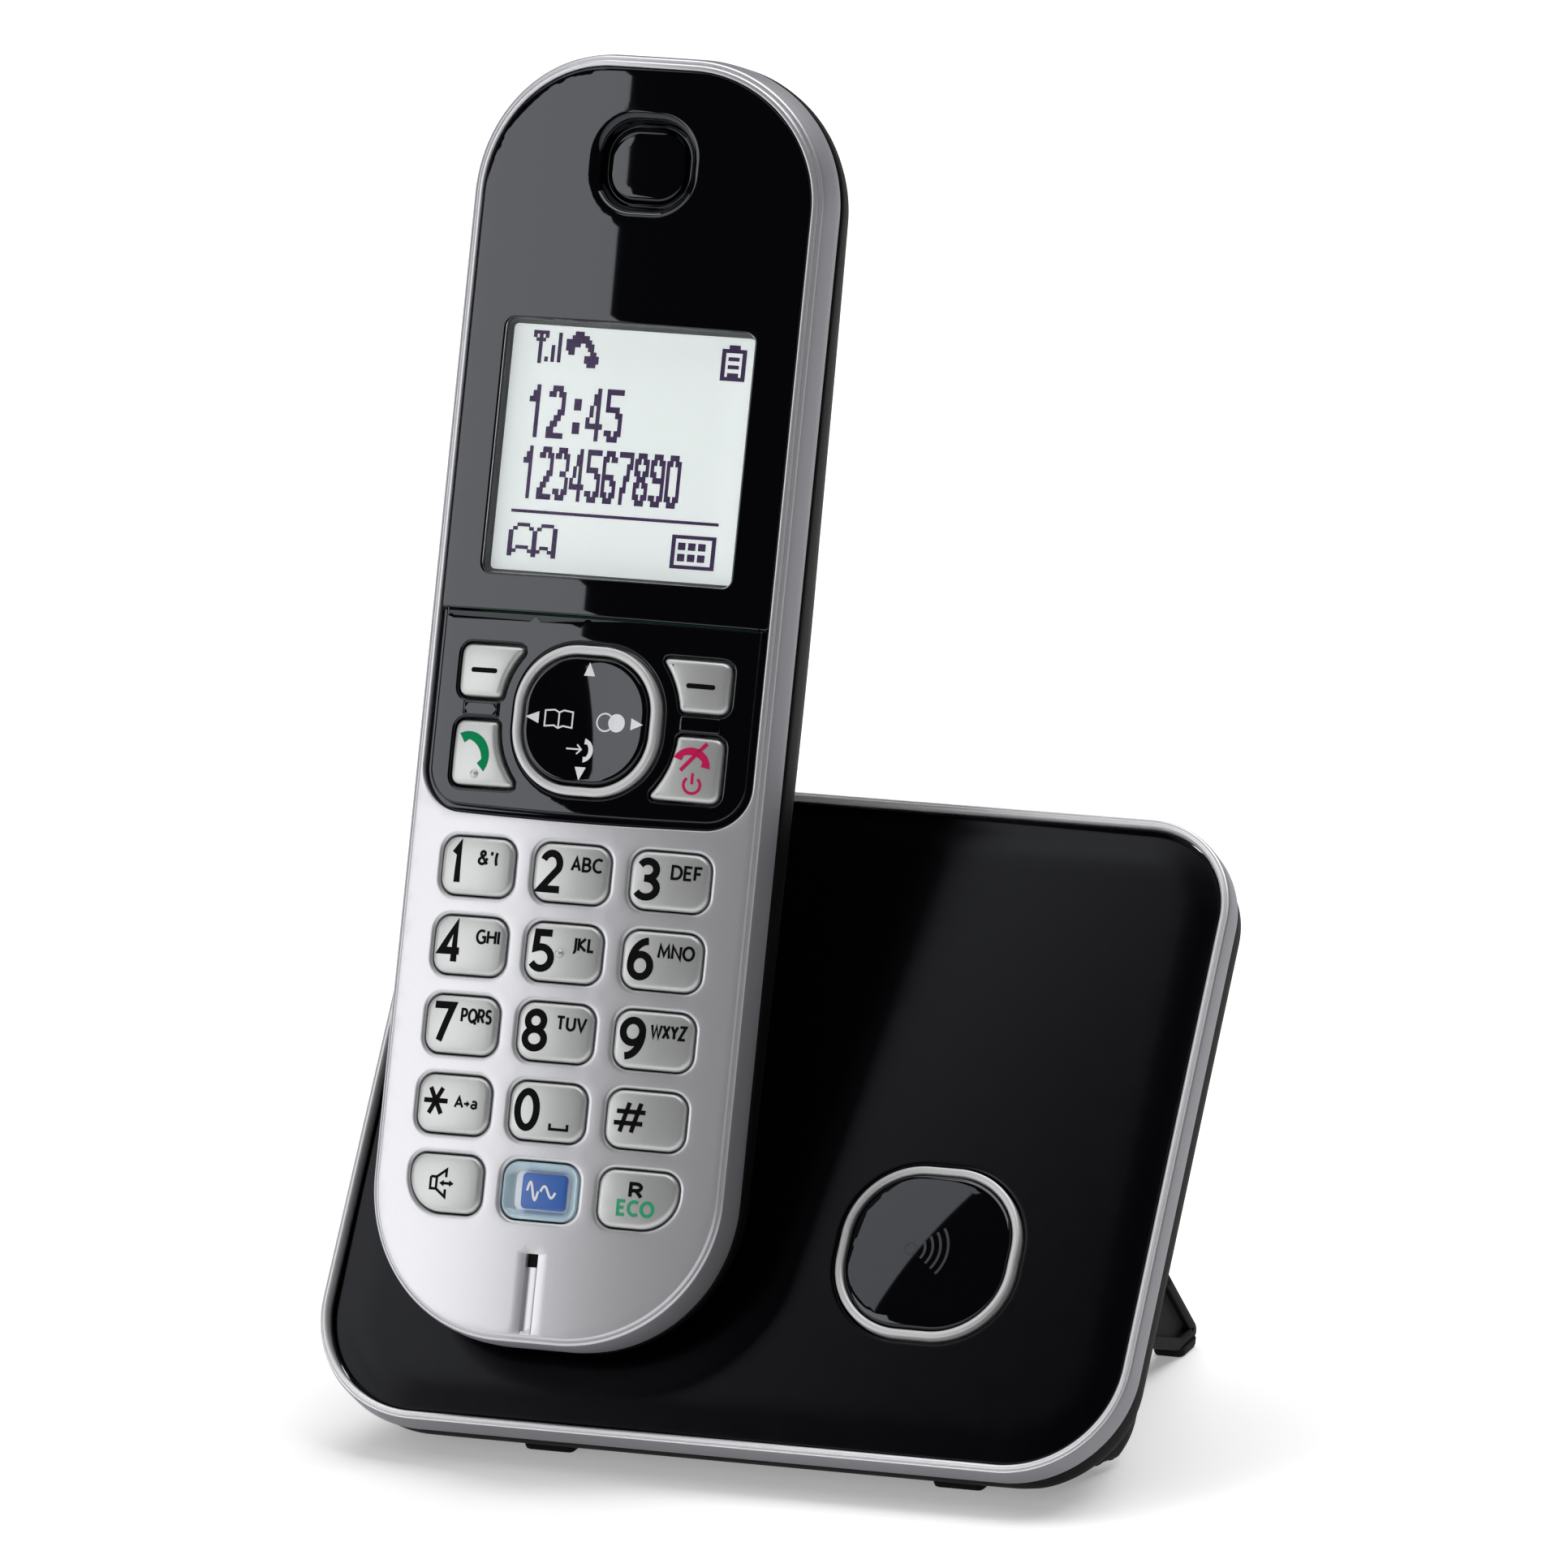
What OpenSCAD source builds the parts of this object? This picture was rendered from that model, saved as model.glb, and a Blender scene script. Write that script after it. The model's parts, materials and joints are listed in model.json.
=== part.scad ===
// Cordless phone standing in its charging base.
// The base is a leaning plate with a cradle pocket; the handset stands in the pocket, more upright.
// Frame: X to the right, Y to the back, +Z up, origin on the table under the middle of the object.
// "Plate" places: x across, y up along the plate, z out of its front face.
// "Handset" places: x across, y from its bottom end to its top, z out of its key face.

/* [Base] */
// Width of the front panel
plate_w = 106.4; // [104:0.2:110]
// Length of the front panel, measured up its slope
plate_h = 85.4; // [84:0.2:88]
// Lean of the front panel from the vertical
plate_lean = 39.8; // [39:0.2:41]
// Height of the panel's lower edge over the table
sill_height = 6.8; // [6.8:0.1:8]
// How far the silver rim stands out around the panel
rim_out = 1.2; // [1:0.1:1.5]
// Depth of the silver rim
rim_depth = 3.9; // [3.6:0.1:4.2]
// Thickness of the base behind the panel
base_depth = 20; // [19:0.5:21]
// Width of the silver ring of the locator button
locator_w = 23.6; // [22:0.2:25]

/* [Handset] */
// Width of the handset
handset_w = 48; // [48:0.2:49]
// Length of the handset
handset_h = 162; // [161:0.5:164]
// Greatest thickness of the handset
handset_t = 24.6; // [24.4:0.2:25.4]
// Lean of the handset from the vertical
handset_lean = 22.3; // [22:0.1:22.8]
// Wall thickness of the handset's housings
wall = 2; // [1.8:0.1:2]

/* [Keys] */
// Distance between key columns
key_pitch_x = 12.93; // [12.8:0.01:13.2]
// Distance between key rows
key_pitch_y = 9.93; // [9.9:0.01:10]
// Width of a dialling key
key_w = 10.1; // [9.6:0.1:10.2]
// Height of a dialling key
key_h = 7.2; // [6.8:0.1:7.4]
// Gap around each key
key_gap = 0.35; // [0.3:0.01:0.4]

/* [Hidden] */
$fn = 96;

silver = [0.78, 0.78, 0.81];
gloss_black = [0.03, 0.03, 0.04];
matt_black = [0.08, 0.08, 0.09];
board_green = [0.10, 0.32, 0.16];
metal = [0.72, 0.70, 0.62];
dark_rubber = [0.12, 0.12, 0.13];

// Where the whole object's depth is centred, measured from the panel's lower edge
depth_centre = 35.2;

// Panel corners, and the clear gap between fixed pieces
panel_r_low = 14;
panel_r_top = 11.5;
fit = 0.1;
// The base shell: a little wider than the panel to a first depth, then a narrower back
shell_wall = 2;
shell_out = 0.3;
shell_step = 9.3;
shell_taper = 4;
// The flat underside stands this high on its feet
foot_height = 1.2;

// Seat of the handset's bottom end on the plate: across, up the slope and out of it
seat_x = -21.7;
seat_up = 6.2;
seat_out = 10;
seat_y = seat_up * sin(plate_lean) - seat_out * cos(plate_lean) - depth_centre;
seat_z = sill_height + seat_up * cos(plate_lean) + seat_out * sin(plate_lean);
cradle_gap = 0.5;
cradle_wall = 2;

// Handset form: corner radii, the crown of its face, the bow of its back and its back edges
corner_low = 20;
corner_top = 18.5;
crown_r = 113;
bow_r = 420;
bow_at = 85;
edge_r = 16;
part_line = -8;

// Black front field of the handset
lens_inset = 1.85;
lens_t = 1.2;
lens_low = 91.2;
field_low = 66;
field_r = 4;

// Display window and its module
window_w = 33.6;
window_h = 32;
window_y = 112;
lcd_size = [37, 38.5, 3.2];
lcd_top = -4.1;

// Earpiece
ear_y = 148;
ear_w = 14.2;
ear_h = 13;
ear_r = 5.4;

// Boards
pcb_top = -7.4;
pcb_t = 1.2;
mat_top = -5.4;

// Keys
key_r = 2;
key_foot = -4.4;
key_proud = 0.6;
first_row = 59.1;
last_row = 19.4;
key_travel_stop = 0.6;

// Navigation key
nav_y = 78.2;
nav_w = 19.4;
nav_h = 18.7;
nav_r = 8.2;
nav_band = 1.3;
nav_proud = 0.9;
nav_pivot = -3.5;
pivot_r = 0.5;
side_clear = 2.4;

// Locator button on the base
locator_x = 24.6;
locator_y = 26.7;
locator_h = locator_w - 1;
locator_r = 9.8;
locator_band = 1.3;
locator_proud = 1;

// Battery space and its cover in the back of the handset
cover_low = 58;
cover_high = 118;
cover_w = 34;
cover_t = 1.6;
cover_gap = 0.35;
hinge_y = cover_low + cover_t / 2;
hinge_z = pow(bow_at - hinge_y, 2) / (2 * bow_r) - handset_t + cover_t / 2;
cell_r = 5.25;
cell_len = 44.5;
cell_low = 65;
cell_z = -16.6;
cell_x = 6.4;

// Sockets at the back of the base, cut level from behind
dc_at = [30, 46, 30];
dc_size = [7, 9, 6];
line_at = [14, 46, 30];
line_size = [10, 12, 7];
socket_wall = 1.2;

// Stand legs
leg_x = 38.6;
leg_t = 4;
foot_x = [-24, 31];

// A rectangle about the origin with a radius for each corner: low left, low right, top right, top left
module rounded(w, h, r) {
  x = w / 2;
  y = h / 2;
  polygon([
    [-x + r[0], -y], [x - r[1], -y], [x, -y + r[1]], [x, y - r[2]],
    [x - r[2], y], [-x + r[3], y], [-x, y - r[3]], [-x, -y + r[0]]
  ]);
  translate([-x + r[0], -y + r[0]]) circle(r[0]);
  translate([x - r[1], -y + r[1]]) circle(r[1]);
  translate([x - r[2], y - r[2]]) circle(r[2]);
  translate([-x + r[3], y - r[3]]) circle(r[3]);
}

module slab(z_low, z_high) {
  translate([0, 0, z_low]) linear_extrude(z_high - z_low) children();
}

module on_plate() {
  translate([0, -depth_centre, sill_height]) rotate([90 - plate_lean, 0, 0]) children();
}

module on_handset() {
  translate([seat_x, seat_y, seat_z]) rotate([90 - handset_lean, 0, 0]) children();
}

// ---- Base ----

module panel_outline(i) {
  low = panel_r_low - i;
  top = panel_r_top - i;
  translate([0, plate_h / 2]) rounded(plate_w - 2 * i, plate_h - 2 * i, [low, low, top, top]);
}

module locator_outline(i) {
  r = locator_r - i;
  translate([locator_x, locator_y]) rounded(locator_w - 2 * i, locator_h - 2 * i, [r, r, r, r]);
}

// Everything under the plate's front plane
module below_plate(z = 0) {
  on_plate() translate([-100, -100, z - 200]) cube([200, 300, 200]);
}

module above_feet() {
  translate([-100, -150, foot_height]) cube([200, 300, 200]);
}

// The handset's path into the pocket, with a gap all round
module cradle_void(gap) {
  on_handset() {
    handset_body(-gap);
    slab(-12, 40) handset_outline(-gap);
  }
}

module base_panel() color(gloss_black) difference() {
  union() {
    on_plate() slab(-2.2, 0) panel_outline(fit);
    intersection() {
      below_plate();
      on_plate() slab(-base_depth, 0) panel_outline(4);
      on_handset() handset_body(-cradle_gap - cradle_wall);
    }
  }
  cradle_void(cradle_gap);
  on_plate() slab(-5, 5) locator_outline(-key_gap);
  for (s = [-1, 1]) on_handset() translate([s * pin_x, pin_y, -40]) cylinder(r = pin_r + 0.3, h = 40);
}

module base_rim() color(silver) on_plate() difference() {
  slab(-rim_depth, 0.3) panel_outline(-rim_out);
  slab(-rim_depth - 1, 1) panel_outline(0);
}

// The narrower back of the shell, which keeps the full reach at the bottom
module back_outline(i) {
  panel_outline(shell_taper + i);
  translate([0, -shell_taper - shell_out]) panel_outline(shell_taper + i);
}

module shell_solid() {
  intersection() {
    on_plate() {
      slab(-shell_step, -rim_depth - fit) panel_outline(-shell_out);
      slab(-base_depth, -shell_step + 1) back_outline(0);
    }
    above_feet();
  }
}

module socket_cut(at, size) {
  translate([at[0] - size[0] / 2, at[1] - size[1] - depth_centre, at[2] - size[2] / 2]) {
    cube([size[0], size[1] + 20, size[2]]);
  }
}

module jack_box(at, size) {
  translate([at[0] - size[0] / 2, at[1] - size[1] - depth_centre, at[2] - size[2] / 2]) cube(size);
}

module base_shell() color(matt_black) difference() {
  shell_solid();
  intersection() {
    on_plate() {
      slab(shell_wall - shell_step, 0) panel_outline(shell_wall - shell_out);
      slab(shell_wall - base_depth, 0) back_outline(shell_wall);
    }
    translate([0, 0, shell_wall]) above_feet();
  }
  intersection() {
    below_plate();
    on_handset() handset_body(-cradle_gap - cradle_wall - 0.3);
  }
  socket_cut(dc_at, dc_size + 2 * [socket_wall + fit, 0, socket_wall + fit]);
  socket_cut(line_at, line_size + 2 * [socket_wall + fit, 0, socket_wall + fit]);
  for (p = screw_places) on_plate() translate([p[0], p[1], -base_depth - 1]) cylinder(r = 3, h = 1.9);
}

module locator_pad() color(gloss_black) on_plate() {
  slab(-1.8, locator_proud + 0.3) locator_outline(locator_band + fit);
  translate([locator_x, locator_y, -5.6]) cylinder(r = 3, h = 4);
}

module locator_ring() color(silver) on_plate() difference() {
  slab(-1.8, locator_proud) locator_outline(0);
  slab(-3, 4) locator_outline(locator_band);
}

board_z = -12.4;

module locator_switch() color(matt_black) on_plate() translate([locator_x, locator_y, board_z + 1.3]) {
  translate([-3, -3, 0]) cube([6, 6, 3.4]);
  cylinder(r = 1.7, h = 4.3);
}

// The board, with a notch where the sockets stand through it
module base_pcb() color(board_green) on_plate() difference() {
  translate([5, 12, board_z]) cube([41, 62, 1.2]);
  translate([4, 35.5, board_z - 1]) cube([32, 12.5, 4]);
  translate([40, 30, board_z - 1]) cylinder(r = 1.8, h = 4);
}

module base_antenna() color(metal) on_plate() translate([44, 60, board_z + 1.3]) {
  cube([1, 10, 6]);
  translate([-14, 9, 0]) cube([14, 1, 6]);
}

// Spring pins that meet the handset's charging plates in the pocket floor
pin_x = 6;
pin_y = 14;
pin_r = 1.5;
pin_len = 3.4;
pin_z = -handset_t + pow(bow_at - pin_y, 2) / (2 * bow_r);

module charge_pin(s) on_handset() translate([s * pin_x, pin_y, pin_z - 0.1 - pin_len]) {
  cylinder(r = pin_r, h = pin_len);
}

module charge_pin_left() color(metal) charge_pin(-1);
module charge_pin_right() color(metal) charge_pin(1);

module dc_jack() color(matt_black) difference() {
  jack_box(dc_at, dc_size + 2 * [socket_wall, 0, socket_wall] + [0, 1.2, 0]);
  translate([0, 0.1, 0]) socket_cut(dc_at, dc_size);
}

module line_jack() color(matt_black) difference() {
  jack_box(line_at, line_size + 2 * [socket_wall, 0, socket_wall] + [0, 1.2, 0]);
  translate([0, 0.1, 0]) socket_cut(line_at, line_size);
}

// A strut from the back of the shell down to the table
module stand_leg(s) {
  translate([s * leg_x - leg_t / 2, -depth_centre, 0]) rotate([90, 0, 90]) linear_extrude(leg_t) {
    polygon([[43.3, 27.4], [45.5, 26], [66.6, 2.4], [66.2, 1.25], [60.4, 1.25], [30.8, 12.4]]);
  }
}

module stand_leg_left() color(matt_black) stand_leg(-1);
module stand_leg_right() color(matt_black) stand_leg(1);

module base_feet() color(dark_rubber) translate([0, -depth_centre, 0]) {
  for (x = foot_x) translate([x, 9.7, 0]) slab(0, foot_height - 0.02) rounded(7, 4.4, [1, 1, 1, 1]);
  for (s = [-1, 1]) translate([s * leg_x, 63.3, 0]) slab(0, foot_height) rounded(4, 5, [1, 1, 1, 1]);
}

// Four screws hold the shell to the panel, sunk into its back
screw_places = [[-43, 70], [43, 70], [-43, 18], [43, 18]];

module base_screws() color(metal) on_plate() for (p = screw_places) translate([p[0], p[1], -base_depth]) {
  difference() {
    cylinder(r = 2.7, h = 0.8);
    translate([-1.6, -0.3, -1]) cube([3.2, 0.6, 1.4]);
    translate([-0.3, -1.6, -1]) cube([0.6, 3.2, 1.4]);
  }
}

// ---- Handset ----

module handset_outline(i) {
  low = corner_low - i;
  top = corner_top - i;
  translate([0, handset_h / 2]) rounded(handset_w - 2 * i, handset_h - 2 * i, [low, low, top, top]);
}

module crown(r) {
  translate([0, -20, -crown_r]) rotate([-90, 0, 0]) cylinder(r = r, h = 210, $fn = 200);
}

// The handset's outer form, shrunk inwards by i
module handset_body(i) {
  intersection() {
    slab(-30, 10) handset_outline(i);
    crown(crown_r - i);
    translate([-50, bow_at, bow_r - handset_t]) rotate([0, 90, 0]) cylinder(r = bow_r - i, h = 100, $fn = 400);
    union() {
      for (s = [-1, 1]) translate([s * (handset_w / 2 - edge_r), -20, edge_r - handset_t]) {
        rotate([-90, 0, 0]) cylinder(r = edge_r - i, h = 210);
      }
      translate([-handset_w / 2 + i, -20, edge_r - handset_t]) cube([handset_w - 2 * i, 210, 30]);
      translate([edge_r - handset_w / 2, -20, i - handset_t]) cube([handset_w - 2 * edge_r, 210, 30]);
    }
  }
}

module zone(y_low, y_high, z_low, z_high) {
  translate([-50, y_low, z_low]) cube([100, y_high - y_low, z_high - z_low]);
}

// The black field from its rounded lower corners up to the top end
module field_outline(i) {
  r = field_r - i;
  intersection() {
    handset_outline(lens_inset + i);
    translate([0, field_low + i + 60]) rounded(handset_w, 120, [r + 2.4, r + 2.4, 1, 1]);
  }
}

module digit_key_outline(column, row, gap) {
  x = (column - 1) * key_pitch_x;
  y = first_row - row * key_pitch_y;
  r = key_r + gap;
  translate([x, y]) rounded(key_w + 2 * gap, key_h + 2 * gap, [r, r, r, r]);
}

// The two outer keys of the last row follow the handset's rounded end
module end_key_outline(s, gap) {
  r = key_r + gap;
  big = 4.6 + gap;
  corners = s < 0 ? [big, r, r, r] : [r, big, r, r];
  translate([s * key_pitch_x, last_row]) rounded(key_w + 2 * gap, key_h + 2 * gap, corners);
}

module nav_outline(i) {
  r = nav_r - i;
  translate([0, nav_y]) rounded(nav_w - 2 * i, nav_h - 2 * i, [r, r, r, r]);
}

// Keys beside the navigation key: a rounded block with its inner side cut along the ring
module side_key_outline(s, upper, gap) {
  at = upper ? [14, 83.5] : [13.7, 73.2];
  size = upper ? [8.2, 6.6] : [8.6, 8.2];
  r = 1.4 + gap;
  difference() {
    translate([s * at[0], at[1]]) rounded(size[0] + 2 * gap, size[1] + 2 * gap, [r, r, r, r]);
    nav_outline(gap - side_clear);
  }
}

module key_cap(x) {
  sag = x * x / (2 * crown_r);
  slab(key_foot, key_proud - sag) children();
}

module handset_front() color(silver) on_handset() difference() {
  union() {
    difference() {
      intersection() {
        handset_body(0);
        zone(-5, 170, part_line + fit / 2, 5);
      }
      handset_body(wall + 0.4);
    }
    intersection() {
      handset_body(1.6);
      for (p = handset_screw_places) translate([p[0], p[1], tray_roof + 0.2]) cylinder(r = 1.9, h = 9);
    }
  }
  for (p = handset_screw_places) translate([p[0], p[1], -12]) cylinder(r = 0.85, h = 7.4);
  difference() {
    slab(-8, 5) field_outline(0);
    crown(crown_r - lens_t - fit);
  }
  for (row = [0:3]) for (column = [0:2]) slab(-9, 5) digit_key_outline(column, row, key_gap);
  for (s = [-1, 1]) slab(-9, 5) end_key_outline(s, key_gap);
  slab(-9, 5) translate([0, last_row]) rounded(key_w + 2 * key_gap, key_h + 2 * key_gap, [2, 2, 2, 2]);
  slab(-9, 5) nav_outline(-key_gap - 0.05);
  for (s = [-1, 1]) for (upper = [true, false]) slab(-9, 5) side_key_outline(s, upper, key_gap + 0.05);
  translate([-window_w / 2 - 0.4, window_y - window_h / 2 - 0.4, -9]) cube([window_w + 0.8, window_h + 0.8, 14]);
  slab(-9, 5) translate([0, ear_y]) rounded(ear_w - 2, ear_h - 2, [4, 4, 4, 4]);
  translate([-0.8, -1, -0.5]) cube([1.6, 11, 3]);
  translate([-0.9, 9.8, -5]) cube([1.8, 2, 8]);
}

module lens_skin() {
  difference() {
    crown(crown_r);
    crown(crown_r - lens_t);
  }
}

module display_lens() color(gloss_black) on_handset() difference() {
  intersection() {
    lens_skin();
    slab(-8, 5) field_outline(fit);
    zone(lens_low, 170, -8, 5);
  }
  slab(-8, 5) translate([0, ear_y]) rounded(ear_w, ear_h, [ear_r, ear_r, ear_r, ear_r]);
}

module nav_panel() color(gloss_black) on_handset() difference() {
  intersection() {
    lens_skin();
    slab(-8, 5) field_outline(fit);
    zone(60, lens_low - 0.15, -8, 5);
  }
  slab(-8, 5) nav_outline(-key_gap);
  for (s = [-1, 1]) for (upper = [true, false]) slab(-8, 5) side_key_outline(s, upper, key_gap);
}

// The battery tray's width and roof, and the screws that close the handset's lower end from behind
tray_w = 26;
tray_roof = -10.1;
handset_screw_places = [[-12, 10], [12, 10]];
screw_seat = -12;

// The cover's patch of the back, with a gap when it is cut out of the housing
module cover_zone(gap) {
  y = cover_low - gap;
  h = cover_high - cover_low + 2 * gap;
  slab(-40, cell_z) translate([0, y + h / 2]) rounded(cover_w + 2 * gap, h, [3, 3, 3, 3]);
}

module handset_rear() color(matt_black) on_handset() difference() {
  union() {
    difference() {
      intersection() {
        handset_body(0);
        zone(-5, 170, -40, part_line - fit / 2);
      }
      handset_body(wall);
    }
    intersection() {
      handset_body(0.5);
      union() {
        translate([-30, cell_low - 4, tray_roof - 1.1]) cube([60, cell_len + 8, 1.1]);
        translate([-tray_w / 2 - 1, cell_low - 4, -24]) cube([tray_w + 2, cell_len + 8, 13.9]);
        for (p = handset_screw_places) translate([p[0], p[1], -24]) cylinder(r = 2.7, h = 13.9);
      }
    }
  }
  translate([-tray_w / 2, cell_low - 3, -40]) cube([tray_w, cell_len + 6, 40 + tray_roof - 1.1]);
  cover_zone(cover_gap);
  for (p = handset_screw_places) translate([p[0], p[1], -40]) {
    cylinder(r = 1.9, h = 40 + screw_seat);
    cylinder(r = 1.1, h = 32);
  }
  for (s = [-1, 1]) translate([s * pin_x - 2.1, pin_y - 3.1, -40]) cube([4.2, 6.2, 35]);
  for (k = [-2:2]) translate([-6, 134 + 2.4 * k, -40]) cube([12, 1.1, 25]);
}

// The cover turns in its opening on the rounded bar along its lower edge
module battery_cover() color(matt_black) on_handset() {
  difference() {
    intersection() {
      handset_body(0);
      cover_zone(0);
      zone(hinge_y, 170, -40, 0);
    }
    handset_body(cover_t);
  }
  translate([-11, hinge_y, hinge_z]) rotate([0, 90, 0]) cylinder(r = cover_t / 2, h = 22);
}

module cell(s) {
  translate([s * cell_x, cell_low, cell_z]) rotate([-90, 0, 0]) {
    cylinder(r = cell_r, h = cell_len - 1.2);
    cylinder(r = 1.9, h = cell_len);
  }
}

module battery_left() color([0.25, 0.45, 0.30]) on_handset() cell(-1);
module battery_right() color([0.25, 0.45, 0.30]) on_handset() cell(1);

module battery_terminals() color(metal) on_handset() for (s = [-1, 1]) {
  translate([s * cell_x - 4, cell_low + cell_len + 0.6, cell_z - 4]) cube([8, 0.5, 8]);
  translate([s * cell_x - 4, cell_low - 1.2, cell_z - 4]) cube([8, 0.5, 8]);
}

module handset_pcb() color(board_green) on_handset() difference() {
  slab(pcb_top - pcb_t, pcb_top) handset_outline(4);
  for (p = handset_screw_places) translate([p[0], p[1], -12]) cylinder(r = 2.1, h = 6);
}

module lcd_module() color([0.82, 0.86, 0.83]) on_handset() {
  translate([-lcd_size[0] / 2, window_y - lcd_size[1] / 2, lcd_top - lcd_size[2]]) cube(lcd_size);
}

module earpiece_cover() color(gloss_black) on_handset() difference() {
  slab(-2, -0.9) translate([0, ear_y]) rounded(ear_w - 0.4, ear_h - 0.4, [5, 5, 5, 5]);
  slab(-3, 2) translate([0, ear_y + 2]) rounded(6, 1.2, [0.5, 0.5, 0.5, 0.5]);
  difference() {
    slab(-9, -1) translate([0, ear_y]) square(40, center = true);
    slab(-9, 0) translate([0, ear_y]) rounded(ear_w - 2.4, ear_h - 2.4, [4, 4, 4, 4]);
  }
}

module earpiece_speaker() color([0.30, 0.30, 0.32]) on_handset() difference() {
  translate([0, ear_y, pcb_top + 0.1]) cylinder(r = 7, h = 3);
  translate([0, ear_y, pcb_top + 2.4]) cylinder(r = 5.4, h = 3);
}

module ringer_speaker() color([0.30, 0.30, 0.32]) on_handset() difference() {
  translate([0, 134, -14.2]) cylinder(r = 9, h = 3.6);
  translate([0, 134, -15]) cylinder(r = 7.4, h = 1.6);
}

module microphone() color(metal) on_handset() translate([0, 10.8, pcb_top + 0.1]) cylinder(r = 2, h = 1.4);

module mic_boot() color(dark_rubber) on_handset() {
  translate([0, 10.8, pcb_top + 1.6]) cylinder(r = 2.6, h = 2.6);
  translate([-0.75, 9.95, pcb_top + 2]) cube([1.5, 1.7, 4.8]);
}

module handset_antenna() color(metal) on_handset() translate([-17, 138, pcb_top + 0.1]) {
  cube([1, 12, 2.4]);
  translate([0, 11.2, 0]) cube([7, 0.8, 2.4]);
}

module keymat() color([0.75, 0.76, 0.78]) on_handset() {
  translate([0, 51.5, mat_top - 1.9]) slab(0, 1.9) rounded(40, 75, [8, 8, 3, 3]);
}

module handset_contacts() color(metal) on_handset() for (s = [-1, 1]) {
  translate([s * pin_x - 1.9, pin_y - 2.9, pin_z + 0.3]) cube([3.8, 5.8, 0.8]);
}

module handset_screws() color(metal) on_handset() for (p = handset_screw_places) {
  translate([p[0], p[1], screw_seat - 0.05]) cylinder(r = 0.8, h = 7);
  difference() {
    translate([p[0], p[1], screw_seat - 1.25]) cylinder(r = 1.7, h = 1.2);
    translate([p[0] - 1, p[1] - 0.2, screw_seat - 2]) cube([2, 0.4, 1.2]);
    translate([p[0] - 0.2, p[1] - 1, screw_seat - 2]) cube([0.4, 2, 1.2]);
  }
}

// ---- Keys ----

// The ring rocks on two side pins; the pad inside it rocks on two pins that sit in the ring
module nav_ring() color(silver) on_handset() difference() {
  union() {
    slab(key_foot + 0.2, nav_proud) nav_outline(0);
    translate([-10.5, nav_y, nav_pivot]) rotate([0, 90, 0]) cylinder(r = pivot_r, h = 21);
  }
  slab(-9, 9) nav_outline(nav_band);
  translate([0, nav_y - 8.6, nav_pivot]) rotate([-90, 0, 0]) cylinder(r = pivot_r + 0.1, h = 17.2);
}

module nav_pad() color(gloss_black) on_handset() {
  slab(key_foot + 0.2, nav_proud - 0.3) nav_outline(nav_band + 0.35);
  translate([0, nav_y - 8.5, nav_pivot]) rotate([-90, 0, 0]) cylinder(r = pivot_r, h = 17);
}

module side_key(s, upper) color(silver) on_handset() key_cap(13) side_key_outline(s, upper, 0);

module soft_left() side_key(-1, true);
module soft_right() side_key(1, true);
module talk_key() side_key(-1, false);
module off_key() side_key(1, false);

module digit_key(column, row) color(silver) on_handset() {
  key_cap((column - 1) * key_pitch_x) digit_key_outline(column, row, 0);
}

module key_1() digit_key(0, 0);
module key_2() digit_key(1, 0);
module key_3() digit_key(2, 0);
module key_4() digit_key(0, 1);
module key_5() digit_key(1, 1);
module key_6() digit_key(2, 1);
module key_7() digit_key(0, 2);
module key_8() digit_key(1, 2);
module key_9() digit_key(2, 2);
module key_star() digit_key(0, 3);
module key_0() digit_key(1, 3);
module key_hash() digit_key(2, 3);

module key_speaker() color(silver) on_handset() key_cap(key_pitch_x) end_key_outline(-1, 0);
module key_recall() color(silver) on_handset() key_cap(key_pitch_x) end_key_outline(1, 0);

module key_noise() color([0.80, 0.86, 0.90]) on_handset() {
  key_cap(0) translate([0, last_row]) rounded(key_w, key_h, [2, 2, 2, 2]);
}

base_panel();
base_rim();
base_shell();
locator_pad();
locator_ring();
locator_switch();
base_pcb();
base_antenna();
charge_pin_left();
charge_pin_right();
dc_jack();
line_jack();
stand_leg_left();
stand_leg_right();
base_feet();
base_screws();
handset_front();
display_lens();
nav_panel();
handset_rear();
battery_cover();
battery_left();
battery_right();
battery_terminals();
handset_pcb();
lcd_module();
earpiece_cover();
earpiece_speaker();
ringer_speaker();
microphone();
mic_boot();
handset_antenna();
keymat();
handset_contacts();
handset_screws();
nav_ring();
nav_pad();
soft_left();
soft_right();
talk_key();
off_key();
key_1();
key_2();
key_3();
key_4();
key_5();
key_6();
key_7();
key_8();
key_9();
key_star();
key_0();
key_hash();
key_speaker();
key_noise();
key_recall();
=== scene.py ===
"""Looks of a cordless phone in its charging base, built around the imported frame."""
import json
import math

import bmesh
import bpy
import numpy as np
from mathutils import Matrix, Vector, kdtree
from mathutils.geometry import delaunay_2d_cdt


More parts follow.
